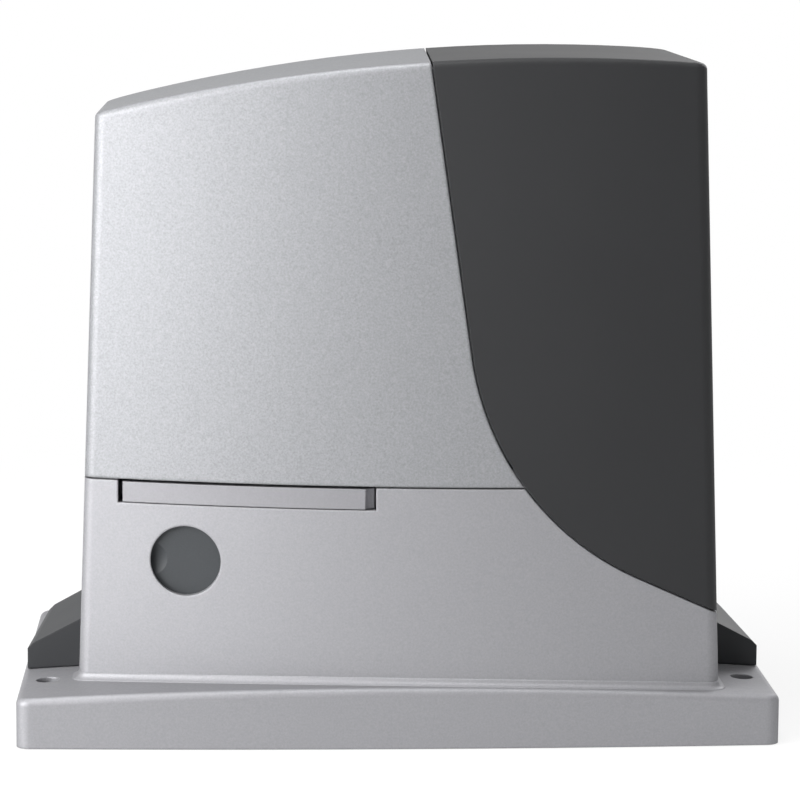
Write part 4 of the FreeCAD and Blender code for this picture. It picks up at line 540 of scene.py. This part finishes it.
casting_root()
release_spring()
terminal_wires("terminal_wires_black", [0, 3, 5, 9, 12], "black_plastic")
terminal_wires("terminal_wires_red", [1, 6, 13], "button_red")
terminal_wires("terminal_wires_grey", [2, 8, 10, 15], "grey_plastic")
wires("motor_lead_red", [[(-30, 8, 238), (-8, -14, 243), (18, -40, 244), (34, -62, 236), (44, -66, 226),
                          (44, -62.6, 224)]], LEAD_RADIUS, "button_red")
wires("motor_lead_black", [[(-30, 12, 238), (-6, -10, 240), (20, -36, 240), (37, -61, 231), (48, -66, 222),
                            (48, -62.6, 220)]], LEAD_RADIUS, "black_plastic")
wires("transformer_leads", [[(66 + 4 * i, -24, 172 + i), (67 + 4 * i, -38, 184), (70 + 3 * i, -52, 192),
                             (70 + 3 * i, -61, 194)] for i in range(4)], WIRE_RADIUS, "grey_plastic")


# Camera, floor and light

def camera():
    """The photograph's viewpoint: 1.47 m in front, a little left of the middle, looking slightly down."""
    place = np.array([-0.06922, -1.47450, 0.35514])
    yaw, pitch, roll = 0.0503047, 0.1341968, 0.0069651
    ahead = np.array([math.sin(yaw) * math.cos(pitch), math.cos(yaw) * math.cos(pitch), -math.sin(pitch)])
    right = np.array([math.cos(yaw), -math.sin(yaw), 0.0])
    up = np.cross(right, ahead)
    tilted_right = math.cos(roll) * right + math.sin(roll) * up
    tilted_up = -math.sin(roll) * right + math.cos(roll) * up
    lens = bpy.data.cameras.new("studio_camera")
    lens.sensor_width = 36.0
    lens.lens = 148.2
    lens.shift_x = -0.0046
    lens.shift_y = -0.0494
    lens.clip_end = 50.0
    view = bpy.data.objects.new("studio_camera", lens)
    bpy.context.scene.collection.objects.link(view)
    columns = np.column_stack([tilted_right, tilted_up, -ahead])
    view.matrix_world = Matrix([[*columns[row], place[row]] for row in range(3)] + [[0, 0, 0, 1]])
    bpy.context.scene.camera = view


def floor():
    """A round pale floor just under z = 0, on rings whose radius grows as the square of their number. It is nearly
    white to the camera, and keeps a share of its own shading so that the object's shadow shows."""
    rings, spokes, reach, height = 24, 64, 6.0, -0.0004
    radius = reach * (np.arange(1, rings + 1) / rings) ** 2
    turn = np.arange(spokes) * 2 * np.pi / spokes
    grid_r, grid_t = np.meshgrid(radius, turn, indexing="ij")
    points = np.stack([grid_r * np.cos(grid_t), grid_r * np.sin(grid_t), np.full(grid_r.shape, height)], -1)
    points = np.vstack([[[0, 0, height]], points.reshape(-1, 3)])
    index = np.arange(rings * spokes).reshape(rings, spokes) + 1
    after = np.roll(index, -1, axis=1)
    quads = np.stack([index[:-1], index[1:], after[1:], after[:-1]], -1).reshape(-1, 4)
    fan = np.stack([np.zeros(spokes, int), index[0], after[0]], -1)
    mesh = bpy.data.meshes.new("studio_floor")
    mesh.from_pydata(points.tolist(), [], fan.tolist() + quads.tolist())
    ground = bpy.data.objects.new("studio_floor", mesh)
    bpy.context.scene.collection.objects.link(ground)
    material, w, shader = blank("studio_floor")
    shader.inputs["Base Color"].default_value = (0.86, 0.86, 0.86, 1)
    shader.inputs["Roughness"].default_value = 0.9
    shader.inputs["Specular IOR Level"].default_value = 0.1
    glow = w.add("Emission")
    glow.inputs["Strength"].default_value = 1.0
    paths = w.add("LightPath")
    seen = w.maths("MAXIMUM", w.maths("MAXIMUM", paths.outputs["Is Camera Ray"], paths.outputs["Is Glossy Ray"]),
                   paths.outputs["Is Transmission Ray"])
    distance = w.vector("LENGTH", w.spot(), (0.0, 0.0, 0.0))
    share = w.maths("MULTIPLY", seen, w.between(distance, 0.3, 0.7, 0.8, 1.0))
    mixed = w.add("MixShader")
    w.join(share, mixed.inputs[0])
    w.join(shader.outputs[0], mixed.inputs[1])
    w.join(glow.outputs[0], mixed.inputs[2])
    w.join(mixed.outputs[0], material.node_tree.nodes["Material Output"].inputs["Surface"])
    mesh.materials.append(material)


def surround():
    """A soft grey room to light by. The camera sees it white. Reflections see white behind the object and a greyer
    room on the camera's side."""
    world = bpy.data.worlds.new("studio")
    bpy.context.scene.world = world
    world.use_nodes = True
    w = Wiring(world.node_tree)
    plain = world.node_tree.nodes["Background"]
    plain.inputs["Color"].default_value = (1, 1, 1, 1)
    plain.inputs["Strength"].default_value = 0.2
    bright = w.add("Background")
    bright.inputs["Color"].default_value = (1, 1, 1, 1)
    paths = w.add("LightPath")
    parts = w.add("SeparateXYZ")
    w.join(w.add("TexCoord").outputs["Generated"], parts.inputs[0])
    mirrored = w.between(parts.outputs["Y"], -0.25, 0.25, 0.3, 0.85)
    w.join(w.maths("MAXIMUM", mirrored, paths.outputs["Is Camera Ray"]), bright.inputs["Strength"])
    seen = w.maths("MAXIMUM", w.maths("MAXIMUM", paths.outputs["Is Camera Ray"], paths.outputs["Is Glossy Ray"]),
                   paths.outputs["Is Transmission Ray"])
    mixed = w.add("MixShader")
    w.join(seen, mixed.inputs[0])
    w.join(plain.outputs[0], mixed.inputs[1])
    w.join(bright.outputs[0], mixed.inputs[2])
    w.join(mixed.outputs[0], world.node_tree.nodes["World Output"].inputs["Surface"])


def lamp(name, place, aim, size, power):
    """A softbox at place, turned to aim. size is its width and height in metres."""
    light = bpy.data.lights.new(name, "AREA")
    light.shape = "RECTANGLE"
    light.size, light.size_y = size
    light.energy = power
    box = bpy.data.objects.new(name, light)
    bpy.context.scene.collection.objects.link(box)
    away = Vector(aim) - Vector(place)
    box.matrix_world = Matrix.Translation(place) @ away.to_track_quat("-Z", "Y").to_matrix().to_4x4()


bpy.context.scene.view_settings.view_transform = "Standard"
camera()
floor()
surround()
lamp("near_softbox", (-0.75, -0.95, 0.35), (-0.05, 0.0, 0.15), (0.4, 0.8), 6.6)
lamp("left_softbox", (-1.1, -0.55, 0.5), (-0.05, 0.0, 0.15), (0.6, 1.0), 20.0)
lamp("high_softbox", (-0.7, -1.3, 1.0), (-0.05, 0.0, 0.05), (0.8, 0.5), 6.0)
lamp("top_softbox", (-0.2, -0.2, 1.6), (0.0, 0.0, 0.1), (1.2, 0.9), 20.0)
lamp("right_fill", (1.2, -0.5, 0.5), (0.0, 0.0, 0.15), (0.6, 1.0), 1.4)
lamp("rear_fill", (0.9, 1.3, 0.9), (0.0, 0.0, 0.15), (0.8, 0.8), 12.0)
